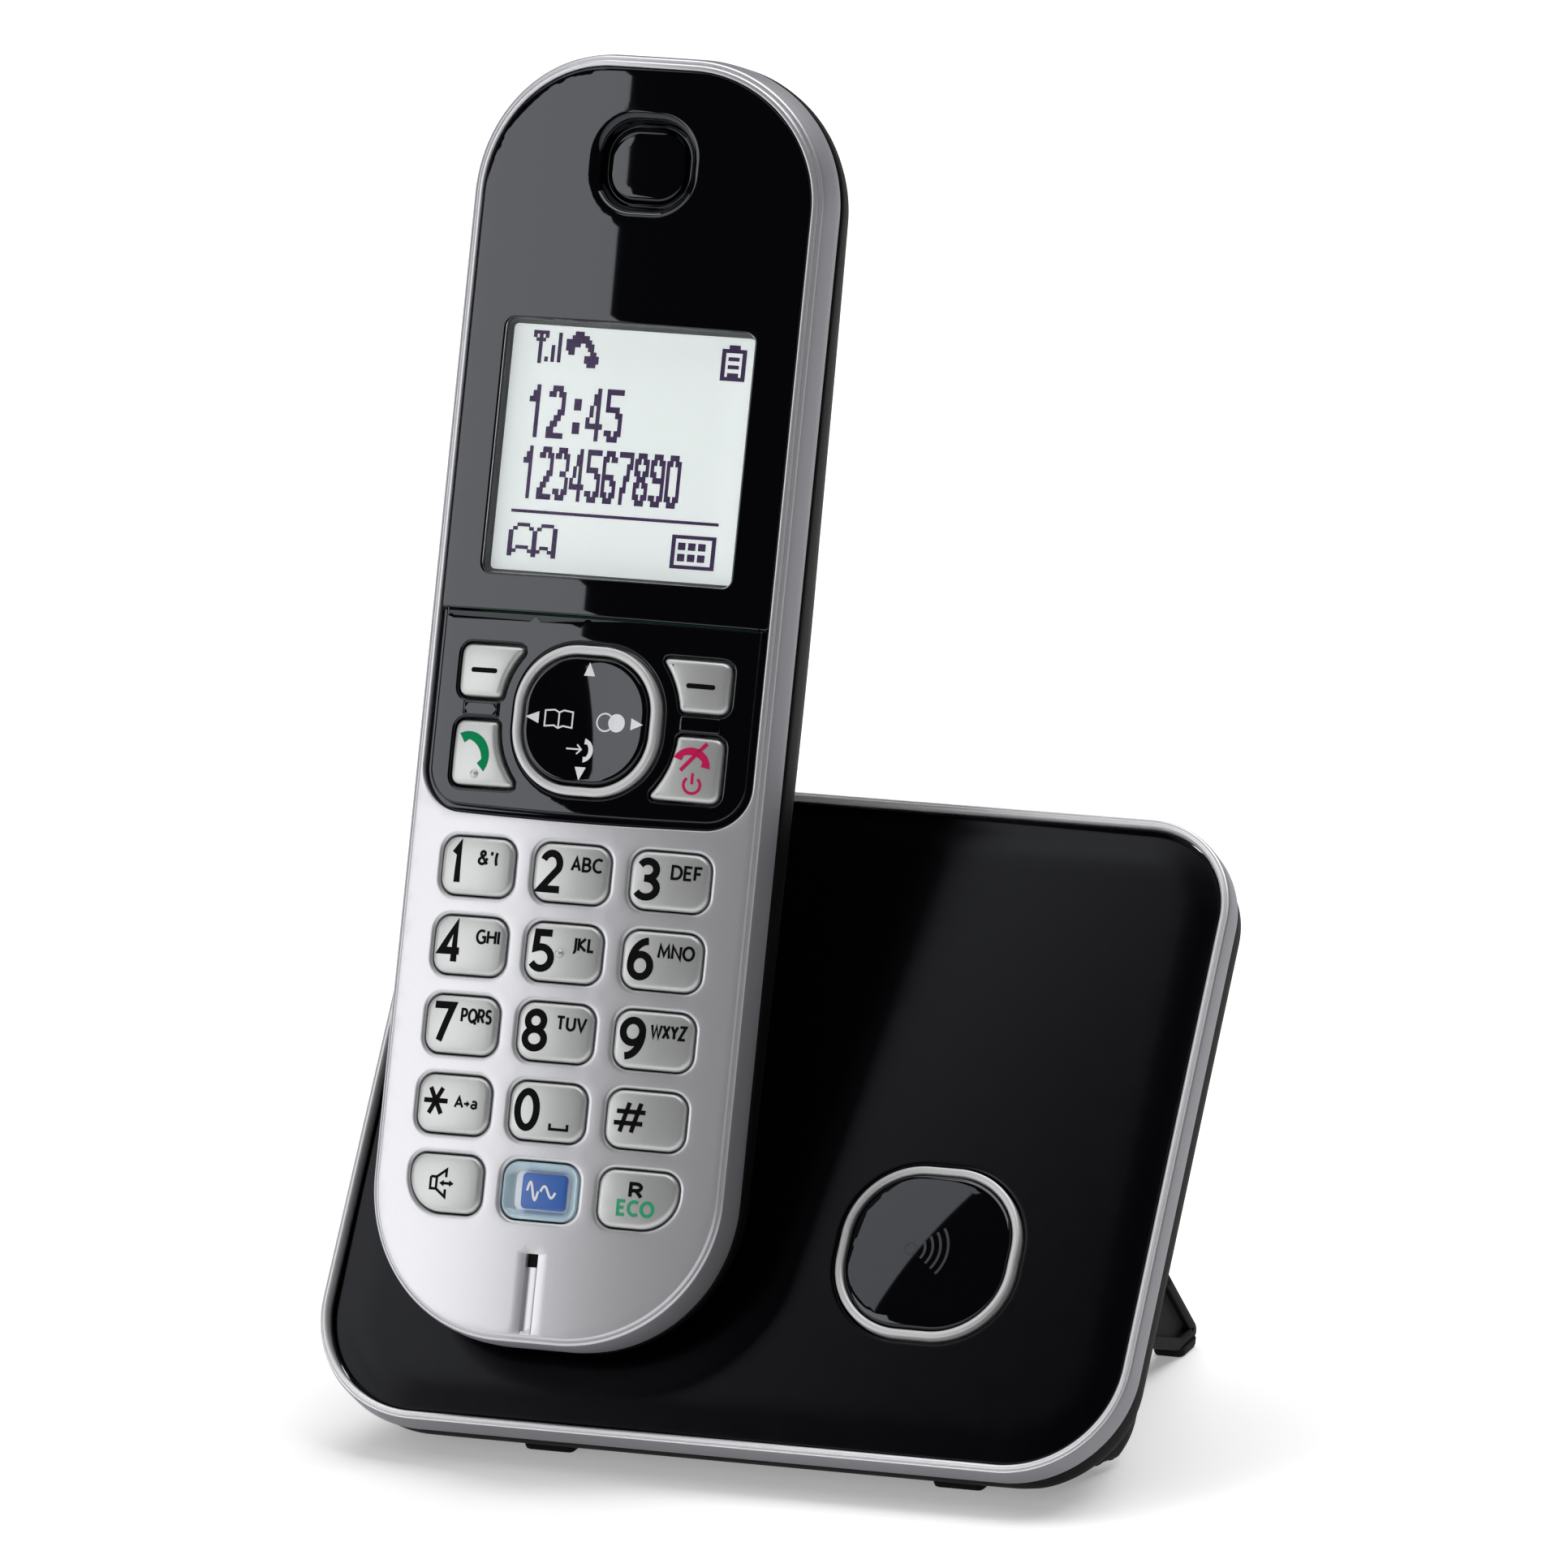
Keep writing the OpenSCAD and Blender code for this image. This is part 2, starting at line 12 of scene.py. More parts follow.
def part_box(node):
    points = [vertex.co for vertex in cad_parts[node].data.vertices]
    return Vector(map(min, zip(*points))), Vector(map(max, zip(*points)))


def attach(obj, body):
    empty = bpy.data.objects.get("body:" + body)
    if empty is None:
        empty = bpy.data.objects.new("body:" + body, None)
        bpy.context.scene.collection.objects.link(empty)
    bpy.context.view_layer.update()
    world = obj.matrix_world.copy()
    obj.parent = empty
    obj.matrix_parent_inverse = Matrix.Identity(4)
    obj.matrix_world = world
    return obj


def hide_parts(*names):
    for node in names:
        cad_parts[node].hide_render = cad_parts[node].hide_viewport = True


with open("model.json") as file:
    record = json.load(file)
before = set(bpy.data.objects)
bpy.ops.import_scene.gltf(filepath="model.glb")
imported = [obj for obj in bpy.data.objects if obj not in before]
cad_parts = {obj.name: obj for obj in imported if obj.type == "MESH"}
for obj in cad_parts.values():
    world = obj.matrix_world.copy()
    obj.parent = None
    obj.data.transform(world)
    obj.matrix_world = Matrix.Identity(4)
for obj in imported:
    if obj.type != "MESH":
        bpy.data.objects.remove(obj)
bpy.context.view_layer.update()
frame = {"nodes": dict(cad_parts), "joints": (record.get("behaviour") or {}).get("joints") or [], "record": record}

# ---- Local frames: x across, y up the piece, z out of its face, in millimetres ----

MM = 0.001
TO_METRES = Matrix.Diagonal((MM, MM, MM, 1))
NAV_Y = 78.2
NAV_DEPTH = 3.5
RIM_OUT = 1.2
RIM_TOP = 0.3
PLATE_W = 106.4
PLATE_H = 85.4

joints = {j["name"]: j for j in frame["joints"]}


def local_frame(up, origin):
    """Matrix from local millimetres to metres for a face that leans back along up."""
    across = Vector((1, 0, 0))
    out = across.cross(up)
    m = Matrix((across, up, out)).transposed().to_4x4()
    return Matrix.Translation(origin) @ m @ TO_METRES


handset_up = Vector(joints["handset_lift"]["axis"]).normalized()
handset_out = Vector((1, 0, 0)).cross(handset_up)
nav_point = Vector(joints["nav_up_down"]["pos_m"])
HANDSET = local_frame(handset_up, nav_point - handset_up * NAV_Y * MM + handset_out * NAV_DEPTH * MM)

plate_out = -Vector(joints["locator_press"]["axis"]).normalized()
plate_up = plate_out.cross(Vector((1, 0, 0)))
rim_low, rim_high = [Vector(c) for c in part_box("base_rim")]
plate_y = rim_low.y + (RIM_OUT * plate_up.y - RIM_TOP * plate_out.y) * MM
plate_z = rim_high.z - ((PLATE_H + RIM_OUT) * plate_up.z + RIM_TOP * plate_out.z) * MM
PLATE = local_frame(plate_up, Vector((0, plate_y, plate_z)))

# ---- Handset and base dimensions, as in the CAD ----

HANDSET_W = 48.0
HANDSET_H = 162.0
HANDSET_T = 24.6
CORNER_LOW = 20.0
CORNER_TOP = 18.5
CROWN_R = 113.0
BOW_R = 420.0
BOW_AT = 85.0
PART_LINE = -8.0
LENS_INSET = 1.85
LENS_LOW = 91.2
FIELD_LOW = 66.0
KEY_W, KEY_H, KEY_R = 10.1, 7.2, 2.0
KEY_PITCH_X, KEY_PITCH_Y = 12.93, 9.93
FIRST_ROW, LAST_ROW = 59.1, 19.4
KEY_GAP = 0.2
KEY_PROUD = 0.55
NAV_W, NAV_H, NAV_R = 19.4, 18.7, 8.2
NAV_BAND = 1.12
SIDE_CLEAR = 2.4
EAR_Y, EAR_W, EAR_H, EAR_R = 148.0, 14.2, 13.0, 5.6
WINDOW_W, WINDOW_H, WINDOW_Y = 33.6, 32.0, 112.0
LOCATOR_X, LOCATOR_Y, LOCATOR_W, LOCATOR_R = 24.6, 26.7, 23.6, 9.8
LOCATOR_H = LOCATOR_W - 1
LOCATOR_BAND = 1.02
PANEL_R_LOW, PANEL_R_TOP = 14.0, 11.5
FOOT_HEIGHT = 1.2
SMOOTH_ANGLE = 40


def crown(x):
    """Height of the handset's crowned face at x."""
    return math.sqrt(CROWN_R**2 - min(abs(x), 60) ** 2) - CROWN_R


def bow(y):
    """Height of the handset's back at y."""
    return -(HANDSET_T - (y - BOW_AT) ** 2 / (2 * BOW_R))


def mix(a, b, t):
    return a + (b - a) * t


def smooth(a, b, x):
    t = min(1.0, max(0.0, (x - a) / (b - a)))
    return t * t * (3 - 2 * t)


# ---- Outlines ----


def rounded_loop(w, h, radii, centre=(0, 0), inset=0.0, step=1.5, arc=0.0):
    """Points round a rectangle with its own radius at each corner, the same number at any inset."""
    arc = arc or step
    x, y = w / 2, h / 2
    turns = [(-1, -1, 180), (1, -1, 270), (1, 1, 0), (-1, 1, 90)]
    corners = []
    for (sx, sy, start), r in zip(turns, radii):
        n = max(4, round(r * math.pi / 2 / arc))
        ri = max(0.02, r - inset)
        cx, cy = sx * (x - inset - ri), sy * (y - inset - ri)
        angles = [math.radians(start + 90 * k / n) for k in range(n + 1)]
        corners.append([(cx + ri * math.cos(a), cy + ri * math.sin(a)) for a in angles])
    sizes = [w - radii[0] - radii[1], h - radii[1] - radii[2], w - radii[2] - radii[3],
             h - radii[3] - radii[0]]
    loop = []
    for k in range(4):
        loop += corners[k]
        a, b = corners[k][-1], corners[(k + 1) % 4][0]
        n = max(1, round(sizes[k] / step))
        loop += [(mix(a[0], b[0], t / n), mix(a[1], b[1], t / n)) for t in range(1, n)]
    return [(px + centre[0], py + centre[1]) for px, py in loop]


def round_corners(corners, step=0.35):
    """A closed outline from (x, y, radius) corners; radius 0 keeps the point."""
    out = []
    n = len(corners)
    for k in range(n):
        px, py, r = corners[k]
        p = Vector((px, py))
        a = Vector(corners[k - 1][:2]) - p
        b = Vector(corners[(k + 1) % n][:2]) - p
        if r <= 0:
            out.append((px, py))
            continue
        half = a.angle(b) / 2
        reach = min(r / math.tan(half), a.length * 0.8, b.length * 0.8)
        p1, p2 = p + a.normalized() * reach, p + b.normalized() * reach
        count = max(3, round(r * (math.pi - 2 * half) / step))
        for t in [q / count for q in range(count + 1)]:
            out.append(tuple(p1 * (1 - t) ** 2 + p * 2 * t * (1 - t) + p2 * t * t))
    return out


def resample(loop, step):
    """Even points along a closed outline."""
    pts = [Vector(p) for p in loop]
    lengths = [(pts[(k + 1) % len(pts)] - p).length for k, p in enumerate(pts)]
    total = sum(lengths)
    n = max(8, round(total / step))
    out, k, run = [], 0, 0.0
    for i in range(n):
        target = total * i / n
        while run + lengths[k] < target and k < len(pts) - 1:
            run += lengths[k]
            k += 1
        t = (target - run) / max(lengths[k], 1e-9)
        p = pts[k].lerp(pts[(k + 1) % len(pts)], t)
        out.append((p.x, p.y))
    return out


def offset_loop(loop, d):
    """The outline moved outwards by d along its normals."""
    out = []
    n = len(loop)
    for k in range(n):
        a, p, b = Vector(loop[k - 1]), Vector(loop[k]), Vector(loop[(k + 1) % n])
        tangent = (p - a).normalized() + (b - p).normalized()
        tangent.normalize()
        out.append((p.x + tangent.y * d, p.y - tangent.x * d))
    return out


def around(outline):
    """The outline as a function of how far it is moved outwards."""
    return lambda d: offset_loop(outline, d)


def handset_loop(inset):
    radii = [CORNER_LOW, CORNER_LOW, CORNER_TOP, CORNER_TOP]
    return rounded_loop(HANDSET_W, HANDSET_H, radii, (0, HANDSET_H / 2), inset, 1.5, 0.8)


def panel_loop(inset):
    radii = [PANEL_R_LOW, PANEL_R_LOW, PANEL_R_TOP, PANEL_R_TOP]
    return rounded_loop(PLATE_W, PLATE_H, radii, (0, PLATE_H / 2), inset, 2.0, 0.7)


def nav_loop(inset):
    return rounded_loop(NAV_W, NAV_H, [NAV_R] * 4, (0, NAV_Y), inset, 0.5, 0.4)


def smile(p):
    """The lower edge of the black field dips a little in its middle."""
    x, y = p
    return x, y - 0.55 * (1 - (x / 21.6) ** 2) * (1 - smooth(FIELD_LOW, FIELD_LOW + 6, y))


def field_loop():
    """The whole black field of the handset."""
    w = HANDSET_W - 2 * LENS_INSET
    top = HANDSET_H - LENS_INSET
    h = top - FIELD_LOW
    radii = [5.5, 5.5, CORNER_TOP - LENS_INSET, CORNER_TOP - LENS_INSET]
    return [smile(p) for p in rounded_loop(w, h, radii, (0, FIELD_LOW + h / 2), 0, 0.8, 0.6)]


def side_key_loop(s, upper):
    """A key beside the navigation key: its inner side follows the ring."""
    outer, low, high = (18.1, 80.3, 86.8) if upper else (18.0, 69.2, 77.3)
    r = NAV_R + SIDE_CLEAR
    cx, cy = NAV_W / 2 - NAV_R, NAV_H / 2 - NAV_R

    def inner(y):
        dy = max(0.0, abs(y - NAV_Y) - cy)
        return cx + math.sqrt(r * r - dy * dy)

    ys = [mix(low, high, k / 6) for k in range(7)]
    radii = [0.7] + [0] * 5 + [0.5]
    corners = [(inner(y), y, q) for y, q in zip(ys, radii)]
    corners = [(outer, low, 1.3)] + corners + [(outer, high, 1.3)]
    if s > 0:
        corners = corners[::-1]
    loop = round_corners([(s * x, y, q) for x, y, q in corners])
    loop = resample(loop, 0.4)
    area = sum(a[0] * b[1] - b[0] * a[1] for a, b in zip(loop, loop[1:] + loop[:1]))
    return loop if area > 0 else loop[::-1]


def key_loop(x, y, radii=(KEY_R,) * 4):
    return rounded_loop(KEY_W, KEY_H, radii, (x, y), 0, 0.7, 0.35)


# ---- Building meshes ----


def inside(points, loop):
    """Which points lie inside a closed outline."""
    x, y = points[:, 0], points[:, 1]
    hit = np.zeros(len(points), bool)
    for (x1, y1), (x2, y2) in zip(loop, loop[1:] + loop[:1]):
        if y1 != y2:
            hit ^= ((y1 > y) != (y2 > y)) & (x < (x2 - x1) * (y - y1) / (y2 - y1) + x1)
    return hit


def between(points, loops):
    """Which points lie inside the first outline and outside the others."""
    keep = inside(points, loops[0])
    for hole in loops[1:]:
        keep &= ~inside(points, hole)
    return keep


def level(height, x, y):
    """A height at a place; height is a number or a function of x and y."""
    return height(x, y) if callable(height) else height


class Shape:
    """A mesh in local millimetres, made of loops, bands between them and filled sheets."""

    def __init__(self):
        self.verts, self.faces, self.slots, self.slot = [], [], [], 0

    def points(self, places):
        """Adds points and returns their numbers."""
        first = len(self.verts)
        self.verts += [tuple(p) for p in places]
        return list(range(first, len(self.verts)))

    def face(self, ids):
        self.faces.append(tuple(ids))
        self.slots.append(self.slot)

    def loop(self, outline, height):
        return self.points([(x, y, level(height, x, y)) for x, y in outline])

    def band(self, a, b, flip=False):
        n = len(a)
        for k in range(n):
            j = (k + 1) % n
            quad = (a[k], a[j], b[j], b[k])
            self.face(quad[::-1] if flip else quad)

    def skin(self, loops, flip=False):
        for a, b in zip(loops, loops[1:]):
            self.band(a, b, flip)

    def stack(self, loop_of, profile, height=None, flip=False):
        """Skins loop_of(d) at height(z), or at z itself, for each (d, z) pair; returns the loops."""
        loops = [self.loop(loop_of(d), height(z) if height else z) for d, z in profile]
        self.skin(loops, flip)
        return loops

    def sheet(self, outer, holes, height, step, flip=False):
        """Fills the space between loops with triangles whose inner points follow height."""
        loops = [outer] + holes
        flat = [[self.verts[i][:2] for i in ring] for ring in loops]
        ids = [i for ring in loops for i in ring]
        pts = [p for ring in flat for p in ring]
        edges, first = [], 0
        for ring in flat:
            edges += [(first + k, first + (k + 1) % len(ring)) for k in range(len(ring))]
            first += len(ring)
        tree = kdtree.KDTree(len(pts))
        for k, p in enumerate(pts):
            tree.insert((p[0], p[1], 0), k)
        tree.balance()
        lo, hi = np.min(flat[0], 0), np.max(flat[0], 0)
        nx, ny = int((hi[0] - lo[0]) / step) + 1, int((hi[1] - lo[1]) / step) + 1
        places = [(i, j) for j in range(ny) for i in range(nx)]
        grid = np.array([(lo[0] + (i + 0.5) * step, lo[1] + (j + 0.5) * step) for i, j in places])
        clear = step * 0.55
        added = [tuple(p) for p in grid[between(grid, flat)] if tree.find((p[0], p[1], 0))[2] > clear]
        ids += self.loop(added, height)
        out = delaunay_2d_cdt([Vector(p) for p in pts + added], edges, [], 0, 1e-6)
        where = [ids[o[0]] if o else None for o in out[3]]
        centres = np.array([np.mean([out[0][i][:] for i in f], 0) for f in out[2]])
        for f, good in zip(out[2], between(centres, flat)):
            mapped = [where[i] for i in f]
            if good and None not in mapped:
                self.face(mapped[::-1] if flip else mapped)

    def build(self, name, matrix, body, materials, replaces=()):
        mesh = bpy.data.meshes.new(name)
        mesh.from_pydata([matrix @ Vector(v) for v in self.verts], [], self.faces)
        for m in materials if isinstance(materials, list) else [materials]:
            mesh.materials.append(m)
        for p, slot in zip(mesh.polygons, self.slots):
            p.material_index = slot
        bm = bmesh.new()
        bm.from_mesh(mesh)
        bmesh.ops.remove_doubles(bm, verts=bm.verts, dist=1e-7)
        bmesh.ops.recalc_face_normals(bm, faces=bm.faces)
        bm.to_mesh(mesh)
        bm.free()
        place(name, mesh, body, replaces)


def place(name, mesh, body, replaces=()):
    mesh.shade_smooth()
    mesh.set_sharp_from_angle(angle=math.radians(SMOOTH_ANGLE))
    obj = bpy.data.objects.new(name, mesh)
    bpy.context.scene.collection.objects.link(obj)
    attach(obj, body)
    if replaces:
        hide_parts(*replaces)


# ---- Materials ----


def material(name, color, rough, metal=0.0, vary=0.03, scale=900.0, bump=0.02, rough_vary=0.06, **sockets):
    """A Principled material whose colour and roughness vary a little with fine noise, with a fine bump."""
    m = bpy.data.materials.new(name)
    m.use_nodes = True
    nt = m.node_tree
    bsdf = nt.nodes["Principled BSDF"]
    coords = nt.nodes.new("ShaderNodeTexCoord")
    noise = nt.nodes.new("ShaderNodeTexNoise")
    noise.inputs["Scale"].default_value = scale
    noise.inputs["Detail"].default_value = 3
    nt.links.new(coords.outputs["Object"], noise.inputs["Vector"])
    blend = nt.nodes.new("ShaderNodeMix")
    blend.data_type = "RGBA"
    # Sockets 6 and 7 are the two colours and output 2 is the blended colour
    blend.inputs[6].default_value = (*[c * (1 - vary) for c in color], 1)
    blend.inputs[7].default_value = (*[min(1, c * (1 + vary)) for c in color], 1)
    nt.links.new(noise.outputs["Fac"], blend.inputs[0])
    nt.links.new(blend.outputs[2], bsdf.inputs["Base Color"])
    remap = nt.nodes.new("ShaderNodeMapRange")
    remap.inputs["To Min"].default_value = max(0.0, rough * (1 - rough_vary))
    remap.inputs["To Max"].default_value = rough * (1 + rough_vary)
    nt.links.new(noise.outputs["Fac"], remap.inputs["Value"])
    nt.links.new(remap.outputs["Result"], bsdf.inputs["Roughness"])
    if bump:
        node = nt.nodes.new("ShaderNodeBump")
        node.inputs["Strength"].default_value = bump
        node.inputs["Distance"].default_value = 0.0001
        nt.links.new(noise.outputs["Fac"], node.inputs["Height"])
        nt.links.new(node.outputs["Normal"], bsdf.inputs["Normal"])
    bsdf.inputs["Metallic"].default_value = metal
    for key, value in sockets.items():
        bsdf.inputs[key.replace("_", " ")].default_value = value
    return m


SILVER = material("silver_lacquer", (0.62, 0.62, 0.65), 0.37, 0.62, scale=6000, vary=0.06, bump=0.05)
# Painted shade: a darkened copy of the silver lacquer for the side bands of the handset and the base rim, darker
# than the faces as shade would leave them
SILVER_SHADED_SIDE = material("silver_side_painted_shade", (0.23, 0.23, 0.25), 0.5, 0.35, scale=6000, vary=0.06, bump=0.05)
RIM_SILVER = material("rim_lacquer", (0.86, 0.86, 0.88), 0.4, 0.5, scale=6000, vary=0.06, bump=0.05)
KEY_SILVER = material("key_lacquer", (0.57, 0.58, 0.575), 0.42, 0.6, scale=5000, vary=0.05, bump=0.05)
TRIM = material("bright_trim", (0.66, 0.66, 0.67), 0.5, 0.5, scale=5000, vary=0.04, bump=0.03)
GLOSS = material("piano_black", (0.001, 0.001, 0.0018), 0.035, IOR=1.53, scale=60, bump=0.0, rough_vary=0.2,
                 Specular_Tint=(0.88, 0.92, 1.0, 1))
PANEL = material("panel_black", (0.0005, 0.0005, 0.001), 0.2, IOR=1.34, scale=400, bump=0.01,
                 rough_vary=0.1, Specular_Tint=(0.88, 0.9, 1.0, 1))
MATT = material("spark_black", (0.002, 0.002, 0.0024), 0.6, Specular_IOR_Level=0.08, scale=2600, bump=0.35,
                vary=0.15)
RUBBER = material("soft_rubber", (0.006, 0.006, 0.006), 0.8, Specular_IOR_Level=0.15, scale=1500, bump=0.2)
SILICONE = material("silicone", (0.62, 0.63, 0.66), 0.6, scale=900, bump=0.1)
STEEL = material("zinc_steel", (0.6, 0.6, 0.6), 0.32, 1.0, scale=3000, bump=0.05)
CONTACT = material("nickel", (0.75, 0.72, 0.64), 0.22, 1.0, scale=3000, bump=0.04)
BOARD = material("solder_mask", (0.02, 0.16, 0.06), 0.35, scale=300, vary=0.3, bump=0.1)
SPEAKER = material("speaker_frame", (0.1, 0.1, 0.11), 0.4, 0.6, scale=1500, bump=0.1)
ECO_INK = material("eco_ink", (0.015, 0.36, 0.17), 0.5, scale=3000, bump=0.05)
PALE_WINDOW = material("pale_window", (0.80, 0.87, 0.90), 0.3, scale=2000, vary=0.02, bump=0.0)
PURE_WHITE = material("white_print", (0.85, 0.87, 0.9), 0.5, scale=3000, bump=0.05)
SLEEVE = material("cell_sleeve", (0.10, 0.34, 0.16), 0.3, scale=200, vary=0.1)
INK = material("legend_ink", (0.004, 0.004, 0.005), 0.7, Specular_IOR_Level=0.06, scale=3000, bump=0.05)
GREEN_INK = material("green_ink", (0.0, 0.25, 0.09), 0.7, Specular_IOR_Level=0.1, scale=3000, bump=0.05)
RED_INK = material("red_ink", (0.6, 0.012, 0.10), 0.7, Specular_IOR_Level=0.1, scale=3000, bump=0.05)
WHITE_INK = material("white_ink", (0.86, 0.87, 0.9), 0.5, scale=3000, bump=0.05)
BADGE = material("blue_badge", (0.05, 0.15, 0.50), 0.35, scale=3000, bump=0.02)
CLEAR_KEY = material("clear_key", (0.62, 0.74, 0.79), 0.12, scale=500, vary=0.04, bump=0.0,
                     Coat_Weight=0.6, Subsurface_Weight=0.25)
# Painted light: the LCD face glows, standing in for the light that the clear display window keeps from it
LCD_GLOW_FACE = material("lcd_face_painted_glow", (0.74, 0.80, 0.79), 0.4, scale=2000, vary=0.01, bump=0.0,
                    Emission_Color=(0.86, 0.92, 0.91, 1), Emission_Strength=0.42)
LCD_INK = material("lcd_ink", (0.055, 0.02, 0.11), 0.5, scale=3000, vary=0.05, bump=0.0)
WINDOW = material("window_clear", (1, 1, 1), 0.02, scale=60, vary=0.0, bump=0.0,
                  Transmission_Weight=1.0, IOR=1.1)
WELL = material("window_wall", (0.10, 0.105, 0.11), 0.5, scale=900)
PANEL_MARK = material("locator_mark_ink", (0.035, 0.035, 0.042), 0.4, scale=3000, bump=0.05)
LABEL = material("label_foil", (0.045, 0.045, 0.05), 0.35, scale=800, vary=0.06, bump=0.05)
FLOOR = material("floor_paper", (0.93, 0.93, 0.93), 0.9, scale=3, vary=0.004, bump=0.0,
                 Emission_Color=(1, 1, 1, 1), Emission_Strength=0.3)

# ---- Handset front housing ----

# Inset and drop of the edge below the face: bead, fine groove, then the side band from EDGE_FOLD on, in the
# darkened silver that paints shade on it
EDGE = [(1.42, 0.0), (1.3, 0.03), (1.2, 0.12), (1.12, 0.27), (1.04, 0.36), (0.94, 0.36), (0.85, 0.29),
        (0.74, 0.31), (0.62, 0.4), (0.52, 0.56), (0.44, 0.78), (0.3, 1.5), (0.16, 2.5), (0.05, 3.6)]
EDGE_FOLD = 9

# The tables below pair a distance outwards from an outline with a drop below a face
FIELD_EDGE = [(0.24, 0.0), (0.14, 0.02), (0.05, 0.08), (0.0, 0.18), (0.0, 1.3)]
LIP = [(0.62, 0.0), (0.46, 0.012), (0.32, 0.04), (0.2, 0.09), (0.1, 0.17), (0.03, 0.3), (0.0, 0.5),
       (0.0, 2.6)]


def below(drop):
    return lambda x, y: crown(x) - drop


def well(s, loop, grow=KEY_GAP, lip=LIP, height=below):
    """A hole round a key, with a soft lip; returns the loop that the sheet meets."""
    return s.stack(lambda d: offset_loop(loop, grow + d), lip, height, flip=True)[0]


def digit_places():
    return [((c - 1) * KEY_PITCH_X, FIRST_ROW - r * KEY_PITCH_Y) for r in range(4) for c in range(3)]


END_LEFT = (4.6, KEY_R, KEY_R, KEY_R)
END_RIGHT = (KEY_R, 4.6, KEY_R, KEY_R)
SLIT_W, SLIT_LOW, SLIT_HIGH, SLIT_MOUTH = 1.6, 1.55, 9.9, 1.7
# Place across the slit, from -1 to 1, and the depth there
SLIT_SECTION = [(-1, 0.02), (-0.92, 0.4), (-0.78, 0.55), (-0.3, 0.46), (0.3, 0.32), (0.72, 0.24),
                (0.9, 0.16), (1, 0.02)]


def slit(s):
    """The sound slit: a shallow groove with a rounded floor that ends in a small square mouth."""
    n = 24
    low, high, half = SLIT_LOW, SLIT_HIGH + SLIT_MOUTH, SLIT_W / 2
    left = [(-half, mix(high, low, k / n)) for k in range(n + 1)]
    right = [(half, mix(low, high, k / n)) for k in range(n + 1)]
    top = s.loop(offset_loop(left + right, 0.05), below(0))
    grid = []
    for k in range(n + 1):
        y = mix(low, high, k / n)
        fade = min(1.0, (y - low) / 0.3)
        mouth = 1.5 if y > SLIT_HIGH + 0.05 else 0.0
        row = []
        for t, drop in SLIT_SECTION:
            sunk = drop * fade + (mouth if abs(t) < 0.97 else 0.0)
            row.append((t * half, y, crown(t * half) - sunk))
        grid.append(s.points(row))
    for a, b in zip(grid, grid[1:]):
        for q in range(len(SLIT_SECTION) - 1):
            s.face((a[q], a[q + 1], b[q + 1], b[q]))
    s.band(top, [g[0] for g in grid[::-1]] + [g[-1] for g in grid])
    s.face(grid[-1][::-1])
    return top


def handset_front():
    s = Shape()
    rings = [s.loop(handset_loop(i), below(z)) for i, z in EDGE]
    rings.append(s.loop(handset_loop(0.0), lambda x, y: mix(crown(x) - 4.4, PART_LINE, 0.45)))
    for inset, rise in [(0.12, 0.3), (0.4, 0.05), (2.0, 0.05)]:
        rings.append(s.loop(handset_loop(inset), PART_LINE + rise))
    s.skin(rings[:EDGE_FOLD + 1], flip=True)
    # The side band takes the darkened silver: painted shade
    s.slot = 1
    s.skin(rings[EDGE_FOLD:], flip=True)
    s.slot = 0
    holes = [well(s, field_loop(), 0.0, FIELD_EDGE)]
    holes += [well(s, key_loop(x, y)) for x, y in digit_places()]
    holes.append(well(s, key_loop(-KEY_PITCH_X, LAST_ROW, END_LEFT)))
    holes.append(well(s, key_loop(KEY_PITCH_X, LAST_ROW, END_RIGHT)))
    holes.append(well(s, key_loop(0, LAST_ROW)))
    holes.append(slit(s))
    s.sheet(rings[0], holes, below(0), 1.1)
    s.build("handset_front_shell", HANDSET, "handset", [SILVER, SILVER_SHADED_SIDE], ["handset_front"])


# ---- Lens, navigation panel, display ----


LENS_SINK = 0.1
LENS_GAP = 0.08
LENS_EDGE = [(0.0, 1.2), (0.0, 0.3), (-0.04, 0.12), (-0.14, 0.03), (-0.3, 0.0)]
WINDOW_EDGE = [(0.3, 0.0), (0.14, 0.02), (0.04, 0.08), (0.0, 0.2), (0.0, 1.0)]
EAR_EDGE = [(0.25, 0.0), (0.1, 0.015), (-0.08, 0.06), (-0.3, 0.17), (-0.55, 0.38), (-0.8, 0.72),
            (-1.0, 1.15), (-1.18, 1.6), (-1.42, 1.95)]
EAR_PAD = [(0.0, 2.0), (-0.22, 2.12), (-0.42, 2.1), (-0.58, 1.96), (-0.72, 1.78), (-0.92, 1.62),
           (-1.2, 1.53), (-1.6, 1.5)]
PANEL_LIP = [(0.4, 0.0), (0.26, 0.02), (0.14, 0.07), (0.04, 0.18), (0.0, 0.35), (0.0, 1.2)]
BRIDGE_EDGE = [(0.0, 0.3), (0.0, -0.08), (-0.06, -0.2), (-0.18, -0.27), (-0.36, -0.3)]


def lens_below(drop):
    return lambda x, y: crown(x) - LENS_SINK - drop


def window_loop(grow, inset=0.0):
    return rounded_loop(WINDOW_W + grow, WINDOW_H + grow, [1.2] * 4, (0, WINDOW_Y), inset, 0.9, 0.3)


def ear_loop(inset):
    return rounded_loop(EAR_W, EAR_H, [EAR_R] * 4, (0, EAR_Y), inset, 0.4, 0.4)


